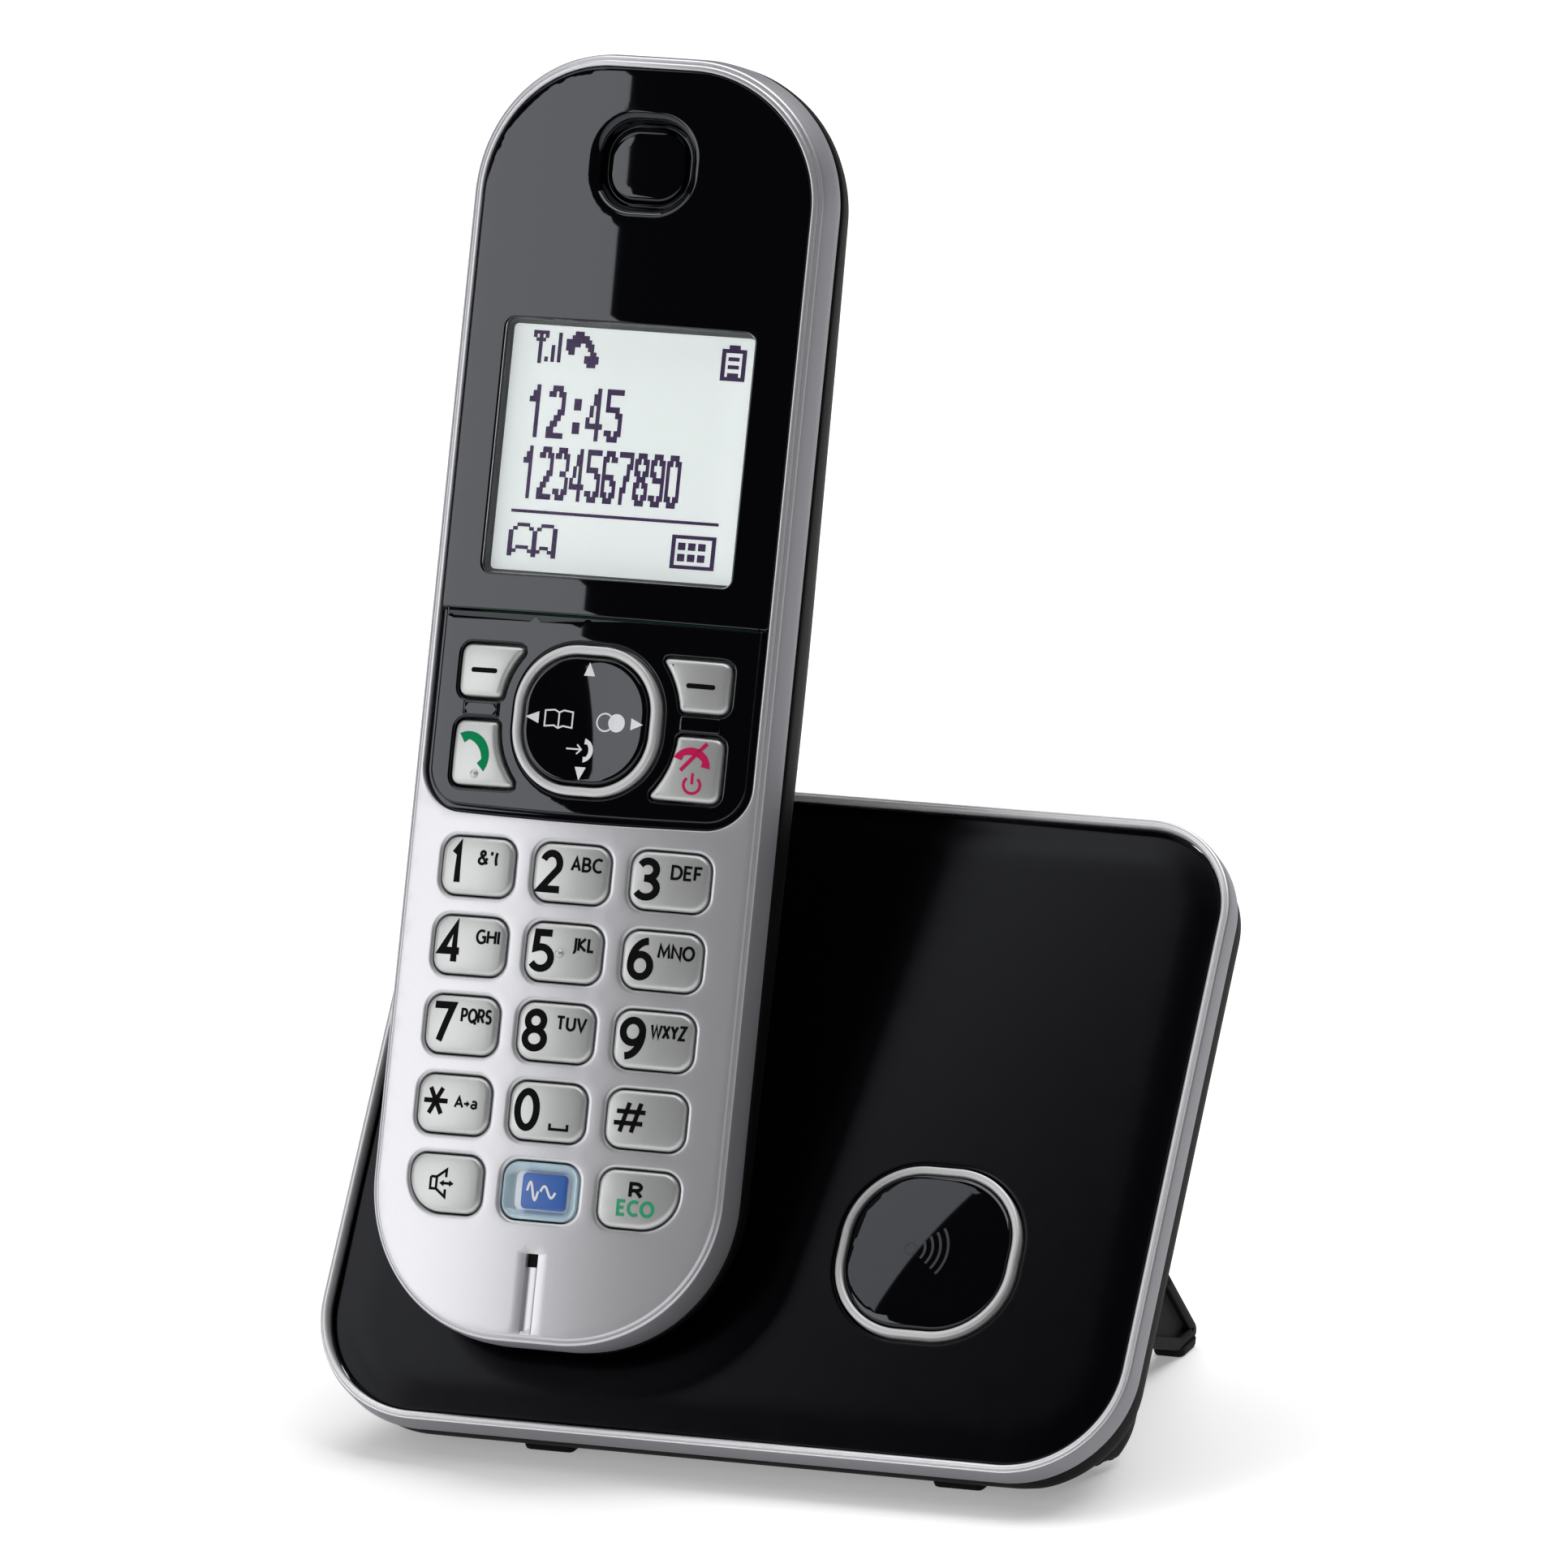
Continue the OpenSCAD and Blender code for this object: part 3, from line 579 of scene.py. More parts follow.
def display_lens():
    s = Shape()
    w = HANDSET_W - 2 * LENS_INSET - 2 * LENS_GAP
    top = HANDSET_H - LENS_INSET - LENS_GAP
    h = top - LENS_LOW
    r = CORNER_TOP - LENS_INSET
    outline = rounded_loop(w, h, [0.5, 0.5, r, r], (0, LENS_LOW + h / 2), 0, 0.9, 0.5)
    rings = s.stack(around(outline), LENS_EDGE, lens_below)
    hole = s.stack(around(window_loop(0)), WINDOW_EDGE, lens_below, flip=True)
    dish = s.stack(around(ear_loop(0)), EAR_EDGE, lens_below, flip=True)
    s.sheet(rings[-1], [hole[0], dish[0]], lens_below(0), 1.0)
    s.build("display_lens_gloss", HANDSET, "handset", GLOSS, ["display_lens"])


def earpiece():
    """The gloss pad in the floor of the earpiece, with the ditch round it."""
    s = Shape()
    rings = s.stack(around(ear_loop(1.3)), EAR_PAD, below)
    s.sheet(rings[-1], [], below(1.5), 0.7)
    s.build("earpiece_gloss", HANDSET, "handset", GLOSS, ["earpiece_cover"])


# Inset and drop of the panel's sunk ledge round its edge, then the step up to its face
PANEL_EDGE = [(0.0, 1.2), (0.0, 0.62), (0.05, 0.52), (0.2, 0.46), (0.62, 0.44), (0.8, 0.4), (0.86, 0.2),
              (0.92, 0.08), (1.02, 0.02), (1.2, 0.0)]


def nav_panel():
    s = Shape()
    w = HANDSET_W - 2 * LENS_INSET - 2 * LENS_GAP
    low, high = FIELD_LOW + 0.08, LENS_LOW - 0.12
    outline = rounded_loop(w, high - low, [5.4, 5.4, 0.5, 0.5], (0, (low + high) / 2), 0, 0.8, 0.4)
    outline = [smile(p) for p in outline]

    def inner(i):
        return [(x, y + (0.85 * i if y > high - 2.5 else 0.0)) for x, y in offset_loop(outline, -i)]

    rings = s.stack(inner, PANEL_EDGE, lens_below)
    keys = [side_key_loop(side, upper) for side in (-1, 1) for upper in (True, False)]
    holes = [well(s, nav_loop(0), 0.3, PANEL_LIP, lens_below)]
    holes += [well(s, loop, 0.32, PANEL_LIP, lens_below) for loop in keys]
    s.sheet(rings[-1], holes, lens_below(0), 0.9)
    s.build("nav_panel_gloss", HANDSET, "handset", GLOSS, ["nav_panel"])
    for side, name in ((-1, "left"), (1, "right")):
        s = Shape()
        block = rounded_loop(5.2, 2.0, [0.3] * 4, (side * 14.75, 78.82), 0, 0.6, 0.15)
        rings = s.stack(around(block), BRIDGE_EDGE, lens_below)
        s.sheet(rings[-1], [], lens_below(-0.3), 0.7)
        s.build("nav_bridge_" + name, HANDSET, "handset", GLOSS)


# ---- Keys ----


def key_top(x, y, cx=0.0, cy=0.0):
    """Height of a key's top: the face's crown with a slight pillow over the key."""
    pillow = 0.012 * ((x - cx) ** 2 + 1.3 * (y - cy) ** 2)
    return crown(x) + KEY_PROUD - pillow


CAP_EDGE = [(0.0, 3.2), (0.0, 0.62), (-0.03, 0.44), (-0.09, 0.29), (-0.19, 0.16), (-0.32, 0.075),
            (-0.48, 0.025), (-0.7, 0.0)]


def cap(name, loop, mat, legends=(), pip=None, edge=CAP_EDGE):
    """A key cap on the body of the same name, with its printed legends and perhaps a raised dot."""
    s = Shape()
    cx = sum(p[0] for p in loop) / len(loop)
    cy = sum(p[1] for p in loop) / len(loop)

    def face(drop):
        return lambda x, y: key_top(x, y, cx, cy) - drop

    def top(x, y):
        bump = 0.0
        if pip:
            d = math.hypot(x - pip[0], y - pip[1])
            bump = 0.42 * math.sqrt(max(0.0, 1 - (d / 0.55) ** 2))
        return key_top(x, y, cx, cy) + bump - edge[-1][1]

    rings = s.stack(around(loop), edge, face)
    if pip:
        dots = [(r, top) for r in (0.56, 0.5, 0.4, 0.28, 0.14)]
        circles = s.stack(lambda r: disc_loop(*pip, r, 20), dots)
        s.sheet(rings[-1], [circles[0]], top, 0.9)
        s.sheet(circles[-1], [], top, 0.3)
    else:
        s.sheet(rings[-1], [], top, 0.9)
    s.build(name + "_cap", HANDSET, name, mat, [name])
    for k, (shape, ink) in enumerate(legends):
        add_legend(f"{name}_legend_{k}", name, HANDSET, face(-0.02), shape, ink)


def oval(cx, cy, rx, ry, start, end, n=14):
    """Points along part of an ellipse; the angles are in degrees."""
    angles = [math.radians(mix(start, end, k / n)) for k in range(n + 1)]
    return [(cx + rx * math.cos(a), cy + ry * math.sin(a)) for a in angles]


# Centre lines of plain letters in a box one wide and one high
LETTER_LINES = {
    "0": [oval(0.5, 0.5, 0.5, 0.5, 0, 360, 32)],
    "1": [[(0.12, 0.80), (0.66, 1.0), (0.66, 0.0)]],
    "2": [oval(0.48, 0.71, 0.44, 0.29, 160, -30) + [(0.0, 0.0), (1.0, 0.0)]],
    "3": [oval(0.42, 0.76, 0.44, 0.24, 150, -90) + [(0.28, 0.52)], oval(0.40, 0.26, 0.54, 0.26, 90, -150)],
    "4": [[(0.72, 0.0), (0.72, 1.0), (0.0, 0.30), (1.0, 0.30)]],
    "5": [[(0.90, 1.0), (0.14, 1.0), (0.10, 0.56)] + oval(0.40, 0.30, 0.54, 0.30, 112, -150)],
    "6": [oval(0.86, 0.34, 0.84, 0.66, 92, 180), oval(0.51, 0.31, 0.49, 0.31, 0, 360, 28)],
    "7": [[(0.0, 1.0), (1.0, 1.0), (0.36, 0.0)]],
    "8": [oval(0.5, 0.76, 0.42, 0.24, 0, 360, 24), oval(0.5, 0.26, 0.5, 0.26, 0, 360, 28)],
    "9": [oval(0.14, 0.66, 0.84, 0.66, -88, 0), oval(0.49, 0.69, 0.49, 0.31, 0, 360, 28)],
    "A": [[(0.0, 0.0), (0.5, 1.0), (1.0, 0.0)], [(0.19, 0.34), (0.81, 0.34)]],
    "B": [[(0.4, 0.0), (0.0, 0.0), (0.0, 1.0)] + oval(0.44, 0.76, 0.42, 0.24, 90, -90),
          [(0.0, 0.52)] + oval(0.46, 0.26, 0.52, 0.26, 90, -90) + [(0.4, 0.0)]],
    "C": [oval(0.62, 0.5, 0.62, 0.5, 52, 308, 20)],
    "D": [[(0.0, 0.0), (0.0, 1.0)] + oval(0.38, 0.5, 0.62, 0.5, 90, -90) + [(0.0, 0.0)]],
    "E": [[(1.0, 1.0), (0.0, 1.0), (0.0, 0.0), (1.0, 0.0)], [(0.0, 0.52), (0.85, 0.52)]],
    "F": [[(1.0, 1.0), (0.0, 1.0), (0.0, 0.0)], [(0.0, 0.52), (0.85, 0.52)]],
    "G": [oval(0.58, 0.5, 0.58, 0.5, 55, 300, 20) + [(1.0, 0.12), (1.0, 0.48), (0.62, 0.48)]],
    "H": [[(0.0, 0.0), (0.0, 1.0)], [(1.0, 0.0), (1.0, 1.0)], [(0.0, 0.52), (1.0, 0.52)]],
    "I": [[(0.5, 0.0), (0.5, 1.0)]],
    "J": [[(0.9, 1.0)] + oval(0.4, 0.08, 0.5, 0.26, 0, -100)],
    "K": [[(0.0, 0.0), (0.0, 1.0)], [(0.92, 1.0), (0.05, 0.5), (1.0, 0.0)]],
    "L": [[(0.0, 1.0), (0.0, 0.0), (1.0, 0.0)]],
    "M": [[(0.0, 0.0), (0.12, 1.0), (0.5, 0.22), (0.88, 1.0), (1.0, 0.0)]],
    "N": [[(0.0, 0.0), (0.0, 1.0), (1.0, 0.0), (1.0, 1.0)]],
    "O": [oval(0.5, 0.5, 0.5, 0.5, 0, 360, 28)],
    "P": [[(0.0, 0.0), (0.0, 1.0)] + oval(0.46, 0.73, 0.5, 0.27, 90, -90) + [(0.0, 0.46)]],
    "Q": [oval(0.5, 0.5, 0.5, 0.5, 0, 360, 28), [(0.55, 0.2), (1.0, -0.16)]],
    "R": [[(0.0, 0.0), (0.0, 1.0)] + oval(0.46, 0.74, 0.46, 0.26, 90, -90) + [(0.0, 0.48)],
          [(0.5, 0.48), (1.0, 0.0)]],
    "S": [oval(0.5, 0.76, 0.46, 0.24, 30, 270) + oval(0.5, 0.26, 0.5, 0.26, 80, -150)],
    "T": [[(0.0, 1.0), (1.0, 1.0)], [(0.5, 1.0), (0.5, 0.0)]],
    "U": [[(0.0, 1.0)] + oval(0.5, 0.36, 0.5, 0.36, 180, 360) + [(1.0, 1.0)]],
    "V": [[(0.0, 1.0), (0.5, 0.0), (1.0, 1.0)]],
    "W": [[(0.0, 1.0), (0.25, 0.0), (0.5, 0.9), (0.75, 0.0), (1.0, 1.0)]],
    "X": [[(0.0, 0.0), (1.0, 1.0)], [(0.0, 1.0), (1.0, 0.0)]],
    "Y": [[(0.0, 1.0), (0.5, 0.48), (1.0, 1.0)], [(0.5, 0.48), (0.5, 0.0)]],
    "Z": [[(0.0, 1.0), (1.0, 1.0), (0.0, 0.0), (1.0, 0.0)]],
    "&": [[(1.0, 0.0), (0.22, 0.74)] + oval(0.46, 0.83, 0.24, 0.17, 200, -30)
          + oval(0.38, 0.24, 0.38, 0.24, 130, 320) + [(1.0, 0.48)]],
    "'": [[(0.6, 1.0), (0.3, 0.72)]],
    "(": [oval(1.3, 0.45, 1.3, 0.75, 138, 222)],
    "a": [[(0.12, 0.95)] + oval(0.5, 0.66, 0.45, 0.34, 110, 0) + [(0.95, 0.0)],
          oval(0.46, 0.27, 0.46, 0.27, 0, 360, 20)],
}
# Widths of the letters of a word, where they aren't 0.66 of the height unit
LETTER_WIDTHS = {"I": 0.05, "J": 0.34, "L": 0.48, "E": 0.5, "F": 0.48, "S": 0.5, "P": 0.55, "B": 0.58,
                 "M": 0.9, "W": 1.1, "O": 0.82, "Q": 0.82, "'": 0.14, "(": 0.22, "R": 0.58, "C": 0.66,
                 "D": 0.7, "G": 0.72, "T": 0.66, "V": 0.72}


def word(text, at, size, stroke):
    """The letters of a word, fitted to a width and height from its lower left corner."""
    widths = [LETTER_WIDTHS.get(c, 0.66) if len(text) > 1 else 1.0 for c in text]
    gap = 0.26
    total = sum(widths) + gap * (len(text) - 1)
    kx, ky = (size[0] - stroke) / total, size[1] - stroke
    half = stroke / 2
    lines, x = [], 0.0
    for c, w in zip(text, widths):
        for line in LETTER_LINES[c]:
            lines.append([(half + kx * (x + w * px), half + ky * py) for px, py in line])
        x += w + gap
    return moved(strokes(lines, stroke), at)


def add_legend(name, body, matrix, height, shape, ink):
    """Lays a flat printed shape just over a surface, cut finely enough to follow it."""
    verts, faces = shape
    bm = bmesh.new()
    made = [bm.verts.new((x, y, 0)) for x, y in verts]
    for f in faces:
        if len(set(f)) > 2:
            face = bm.faces.new([made[i] for i in f])
            face.normal_update()
            if face.normal.z < 0:
                face.normal_flip()
    bmesh.ops.triangulate(bm, faces=bm.faces)
    for _ in range(4):
        long = [e for e in bm.edges if e.calc_length() > 0.9]
        if not long:
            break
        bmesh.ops.subdivide_edges(bm, edges=long, cuts=1)
        bmesh.ops.triangulate(bm, faces=[f for f in bm.faces if len(f.verts) > 3])
    for v in bm.verts:
        v.co = matrix @ Vector((v.co.x, v.co.y, level(height, v.co.x, v.co.y)))
    mesh = bpy.data.meshes.new(name)
    bm.to_mesh(mesh)
    bm.free()
    mesh.materials.append(ink)
    place(name, mesh, body)


def strokes(lines, width):
    """Flat ribbons along polylines, mitred at their corners."""
    verts, faces = [], []
    for line in lines:
        pts = [Vector(p) for p in line]
        pts = [p for k, p in enumerate(pts) if k == 0 or (p - pts[k - 1]).length > 1e-5]
        closed = (pts[0] - pts[-1]).length < 1e-4
        if closed:
            pts = pts[:-1]
        n = len(pts)
        first = len(verts)
        for k, p in enumerate(pts):
            a = pts[k - 1] if closed or k > 0 else None
            b = pts[(k + 1) % n] if closed or k < n - 1 else None
            d1 = (p - a).normalized() if a is not None else (b - p).normalized()
            d2 = (b - p).normalized() if b is not None else d1
            side = Vector((-d1.y - d2.y, d1.x + d2.x))
            side = side.normalized() if side.length > 1e-6 else Vector((-d1.y, d1.x))
            reach = width / 2 / max(0.42, side.dot(Vector((-d1.y, d1.x))))
            verts += [tuple(p + side * reach), tuple(p - side * reach)]
        for k in range(n if closed else n - 1):
            i, j = first + 2 * k, first + 2 * ((k + 1) % n)
            faces.append((i, i + 1, j + 1, j))
    return verts, faces


def polygon(points):
    return list(points), [tuple(range(len(points)))]


def moved(shape, at):
    verts, faces = shape
    return [(x + at[0], y + at[1]) for x, y in verts], faces


def join(*shapes):
    verts, faces = [], []
    for v, f in shapes:
        k = len(verts)
        verts += v
        faces += [tuple(i + k for i in face) for face in f]
    return verts, faces


def arc_points(cx, cy, r, start, end, n=12):
    return oval(cx, cy, r, r, start, end, n)


DIGITS = ["1", "2", "3", "4", "5", "6", "7", "8", "9", "star", "0", "hash"]
LETTERS = {"2": ("ABC", 4.2), "3": ("DEF", 4.0), "4": ("GHI", 3.3), "5": ("JKL", 3.1), "6": ("MNO", 4.7),
           "7": ("PQRS", 4.3), "8": ("TUV", 4.1), "9": ("WXYZ", 4.6)}


def star_legend(left, y):
    cx, cy = left + 2.7, y + 0.3
    lines = []
    for a, r in [(0, 1.72), (1.07, 1.85), (-1.07, 1.85)]:
        dx, dy = r * math.cos(a), r * math.sin(a)
        lines.append([(cx + dx, cy + dy), (cx - dx, cy - dy)])
    arrow = [[(left + 6.75, y + 0.15), (left + 7.3, y + 0.15)]]
    tip = moved(polygon([(0, 0), (0.45, 0.42), (0, 0.84)]), (left + 7.1, y - 0.27))
    return [(strokes(lines, 0.62), INK), (strokes(arrow, 0.3), INK),
            (word("A", (left + 5.35, y - 0.5), (1.35, 1.55), 0.3), INK),
            (word("a", (left + 7.65, y - 0.5), (0.95, 1.15), 0.28), INK), (tip, INK)]


def hash_legend(left, y):
    cx, cy = left + 3.2, y + 0.2
    lines = [[(cx - 1.15, cy - 1.85), (cx - 0.15, cy + 1.85)],
             [(cx + 0.35, cy - 1.85), (cx + 1.35, cy + 1.85)],
             [(cx - 1.75, cy + 0.72), (cx + 2.0, cy + 0.72)],
             [(cx - 2.0, cy - 0.72), (cx + 1.75, cy - 0.72)]]
    return [(strokes(lines, 0.58), INK)]


def digit_legends(digit, left, low, y):
    if digit == "star":
        return star_legend(left, y)
    if digit == "hash":
        return hash_legend(left, y)
    width, shift = (2.0, 0.5) if digit == "1" else (3.55, 0.0)
    legends = [(word(digit, (left + 0.75 + shift, low + 1.0), (width, 5.4), 0.92), INK)]
    if digit in LETTERS:
        letters, wide = LETTERS[digit]
        legends.append((word(letters, (left + 9.35 - wide, y + 0.25), (wide, 1.9), 0.34), INK))
    if digit == "1":
        legends.append((word("&'(", (left + 5.2, y + 0.15), (3.1, 1.95), 0.36), INK))
    if digit == "0":
        a, b, base = left + 5.8, left + 8.1, low + 1.5
        legends.append((strokes([[(a, low + 2.2), (a, base), (b, base), (b, low + 2.2)]], 0.36), INK))
    return legends


def digit_keys():
    for (x, y), digit in zip(digit_places(), DIGITS):
        pip = (x - 0.3, y - 0.1) if digit == "5" else None
        legends = digit_legends(digit, x - KEY_W / 2, y - KEY_H / 2, y)
        cap("key_" + digit, key_loop(x, y), KEY_SILVER, legends, pip)


def receiver_icon(cx, cy, size, turn):
    """A telephone receiver: a bent bar with two square ends."""
    outer = arc_points(0, -0.55, 1.0, 28, 152, 14)
    inner = arc_points(0, -0.80, 0.86, 140, 40, 10)
    left_end = [(-0.98, -0.32), (-0.52, -0.36), (-0.5, -0.10)]
    pts = outer + left_end + inner[2:-2] + [(-x, y) for x, y in left_end[::-1]]
    c, s = math.cos(math.radians(turn)), math.sin(math.radians(turn))
    return polygon([(cx + size * (c * x - s * y), cy + size * (s * x + c * y)) for x, y in pts])


def side_keys():
    for s, side in ((-1, "left"), (1, "right")):
        bar = polygon(rounded_loop(3.7, 0.62, [0.3] * 4, (s * 14.6, 83.6), 0, 0.4, 0.1))
        cap("soft_" + side, side_key_loop(s, True), KEY_SILVER, [(bar, INK)])
    talk = receiver_icon(-14.5, 73.9, 3.1, -50)
    cap("talk_key", side_key_loop(-1, False), KEY_SILVER, [(talk, GREEN_INK)], (-14.6, 70.6))
    down = receiver_icon(14.6, 74.8, 2.5, -14)
    slash = strokes([[(13.1, 73.0), (16.1, 76.6)]], 0.5)
    power = strokes([arc_points(14.7, 71.3, 1.05, 130, 410, 20), [(14.7, 71.4), (14.7, 72.8)]], 0.36)
    cap("off_key", side_key_loop(1, False), KEY_SILVER, [(join(down, slash, power), RED_INK)])


def last_row_keys():
    x, y = -KEY_PITCH_X - 0.3, LAST_ROW
    horn = [[(x - 1.6, y + 0.75), (x - 1.6, y - 0.75), (x - 0.75, y - 0.75), (x + 0.55, y - 1.7),
             (x + 0.55, y - 0.75)],
            [(x - 1.6, y + 0.75), (x - 0.75, y + 0.75), (x + 0.55, y + 1.7), (x + 0.55, y + 0.75)],
            [(x - 0.75, y + 0.75), (x - 0.75, y - 0.75)],
            [(x + 0.1, y), (x + 1.3, y)]]
    left_tip = polygon([(x - 0.35, y), (x + 0.3, y - 0.42), (x + 0.3, y + 0.42)])
    right_tip = polygon([(x + 1.7, y), (x + 1.05, y + 0.42), (x + 1.05, y - 0.42)])
    legend = join(strokes(horn, 0.34), left_tip, right_tip)
    cap("key_speaker", key_loop(-KEY_PITCH_X, LAST_ROW, END_LEFT), KEY_SILVER, [(legend, INK)])
    x = KEY_PITCH_X
    legends = [(word("R", (x - 1.0, LAST_ROW + 0.1), (1.9, 2.1), 0.46), INK),
               (word("ECO", (x - 2.4, LAST_ROW - 2.15), (4.9, 2.1), 0.42), ECO_INK)]
    cap("key_recall", key_loop(x, LAST_ROW, END_RIGHT), KEY_SILVER, legends)
    noise_key()


# The clear key's rounded frame and its sunk window; the badge stands up from the window's floor
SUNK = [(0.0, 3.2), (0.0, 0.75), (-0.06, 0.5), (-0.2, 0.38), (-0.36, 0.42), (-0.5, 0.6), (-0.75, 1.0),
        (-1.05, 1.3), (-1.35, 1.42), (-1.7, 1.45)]
BADGE_EDGE = [(0.0, 0.05), (0.0, 0.5), (-0.1, 0.6), (-0.3, 0.62)]


def noise_key():
    """The clear key: a glassy frame round a pale sunk window with a badge."""
    cap("key_noise", key_loop(0, LAST_ROW), CLEAR_KEY, edge=SUNK)

    def over_floor(rise):
        return lambda x, y: key_top(x, y, 0, LAST_ROW) - SUNK[-1][1] + rise

    pale = polygon(rounded_loop(7.3, 4.9, [0.9] * 4, (0.1, LAST_ROW), 0, 0.8, 0.3))
    add_legend("key_noise_window", "key_noise", HANDSET, over_floor(0.08), pale, PALE_WINDOW)
    s = Shape()
    badge = rounded_loop(5.9, 4.5, [0.6] * 4, (0.45, LAST_ROW), 0, 0.7, 0.2)
    rings = s.stack(around(badge), BADGE_EDGE, over_floor)
    s.sheet(rings[-1], [], over_floor(BADGE_EDGE[-1][1]), 0.8)
    s.build("key_noise_badge", HANDSET, "key_noise", BADGE)
    wave = []
    for x0, reach, tall in ((-1.7, 1.5, 1.1), (0.1, 2.0, 0.7)):
        turns = [k / 16 for k in range(17)]
        wave.append([(x0 + reach * t, LAST_ROW + tall * math.sin(math.tau * t)) for t in turns])
    add_legend("key_noise_wave", "key_noise", HANDSET, over_floor(0.66), strokes(wave, 0.32), PURE_WHITE)


# ---- Navigation key ----


# Share of the ring's width and drop from its top; None stands for the base
RING_SECTION = [(0.0, None), (0.0, 0.32), (0.04, 0.18), (0.12, 0.07), (0.24, 0.01), (0.45, 0.0),
                (0.66, 0.02), (0.82, 0.09), (0.94, 0.24), (1.0, 0.45), (1.0, None)]
PAD_EDGE = [(0.0, None), (0.0, 0.5), (0.06, 0.3), (0.18, 0.15), (0.38, 0.05), (0.7, 0.0)]


def ring_shape(loop_of, band, base, top, matrix, body, node):
    """A trim ring with a rounded top; loop_of(inset) gives its outline."""
    s = Shape()
    rings = [s.loop(loop_of(i * band), base if drop is None else top - drop) for i, drop in RING_SECTION]
    s.skin(rings + [rings[0]])
    s.build(node + "_trim", matrix, body, TRIM, [node])


def pad_shape(loop_of, centre, top, dome, base, matrix, body, node):
    """A gloss pad with a domed or dished face; returns the height function of its face."""
    s = Shape()

    def height(x, y):
        return top - dome * ((x - centre[0]) ** 2 + (y - centre[1]) ** 2)

    def under(drop):
        return base if drop is None else (lambda x, y: height(x, y) - drop)

    rings = s.stack(loop_of, PAD_EDGE, under)
    s.sheet(rings[-1], [], height, 0.8)
    s.build(node + "_gloss", matrix, body, GLOSS, [node])
    return height


def navigation():
    y = NAV_Y
    ring_shape(nav_loop, NAV_BAND, -4.0, 0.7, HANDSET, "nav_ring", "nav_ring")
    height = pad_shape(lambda i: nav_loop(NAV_BAND + 0.3 + i), (0, y), 0.2, -0.0095, -4.0, HANDSET,
                       "nav_pad", "nav_pad")
    up = polygon([(-0.75, y + 5.6), (0.75, y + 5.6), (0, y + 7.3)])
    down = polygon([(0.75, y - 5.8), (-0.75, y - 5.8), (0, y - 7.5)])
    left = polygon([(-6.2, y + 0.75), (-7.9, y), (-6.2, y - 0.75)])
    right = polygon([(6.2, y - 0.75), (7.9, y), (6.2, y + 0.75)])
    pages = [(-5.4, y - 1.0), (-5.4, y + 0.95), (-4.2, y + 1.1), (-3.6, y + 0.8), (-3.0, y + 1.1),
             (-1.8, y + 0.95), (-1.8, y - 1.0), (-3.0, y - 0.85), (-3.6, y - 1.15), (-4.2, y - 0.85),
             (-5.4, y - 1.0)]
    book = strokes([pages, [(-3.6, y + 0.8), (-3.6, y - 1.15)]], 0.2)
    ring = strokes([arc_points(2.6, y, 1.1, 0, 360, 24)], 0.2)
    disc = polygon(arc_points(4.2, y, 1.15, 0, 345, 23))
    shaft, barbs = [(-2.2, y - 3.6), (-0.2, y - 3.6)], [(-0.8, y - 3.0), (-0.2, y - 3.6), (-0.8, y - 4.2)]
    arrow = strokes([shaft, barbs], 0.2)
    phone = receiver_icon(0.7, y - 3.7, 1.55, -90)
    marks = join(up, down, left, right, book, ring, disc, arrow, phone)
    add_legend("nav_pad_marks", "nav_pad", HANDSET, lambda a, b: height(a, b) + 0.02, marks, WHITE_INK)


# ---- Display ----

# Rows of each sign from the top; 1 is a dark cell
GLYPHS = {
    "0": "01110 11011 10001 10001 10001 10001 10001 11011 01110",
    "1": "00100 01100 11100 00100 00100 00100 00100 00100 00100",
    "2": "01110 11011 00001 00001 00011 00110 01100 11000 11111",
    "3": "01110 11011 00001 00001 00110 00001 00001 11011 01110",
    "4": "00010 00110 00110 01010 01010 10010 11111 00010 00010",
    "5": "11111 10000 10000 11110 00011 00001 00001 11011 01110",
    "6": "01110 11011 10000 10000 11110 10011 10001 11011 01110",
    "7": "11111 00001 00011 00010 00110 00100 01100 01000 01000",
    "8": "01110 11011 10001 11011 01110 11011 10001 11011 01110",
    "9": "01110 11011 10001 11001 01111 00001 00001 11011 01110",
    ":": "00000 00000 00110 00110 00000 00000 00110 00110 00000",
    "aerial": "11111 10101 01110 00100 00100 00100 00100 00100 00100",
    "call": "000111000000 001111110000 111111111000 111110011100 111000001100 "
            "011000000110 000000011111 000000011111 000000001110",
    "book": "001110001110 010001010001 100000100001 100000100001 100000100001 "
            "100000100001 101110101101 110001110011 100000100001",
    "keys": "1111111111111 1000000000001 1011011011001 1011011011001 1000000000001 "
            "1011011011001 1011011011001 1000000000001 1111111111111",
    "cell": "0011100 1111111 1000001 1011101 1000001 1011101 1000001 1011101 1111111",
}
PIXEL_SPREAD = 0.06
LCD_Z = -3.0


def pixels(glyph, x, y, px, py):
    """Flat rectangles for the set cells of a glyph; x, y is its lower left corner."""
    verts, faces = [], []
    rows = GLYPHS[glyph].split()
    for j, row in enumerate(rows):
        top = y + (len(rows) - j) * py
        k = row.find("1")
        while k >= 0:
            end = row.find("0", k)
            end = len(row) if end < 0 else end
            n = len(verts)
            a, b = x + k * px - PIXEL_SPREAD, x + end * px + PIXEL_SPREAD
            verts += [(a, top - py), (b, top - py), (b, top), (a, top)]
            faces.append((n, n + 1, n + 2, n + 3))
            k = row.find("1", end)
    return verts, faces


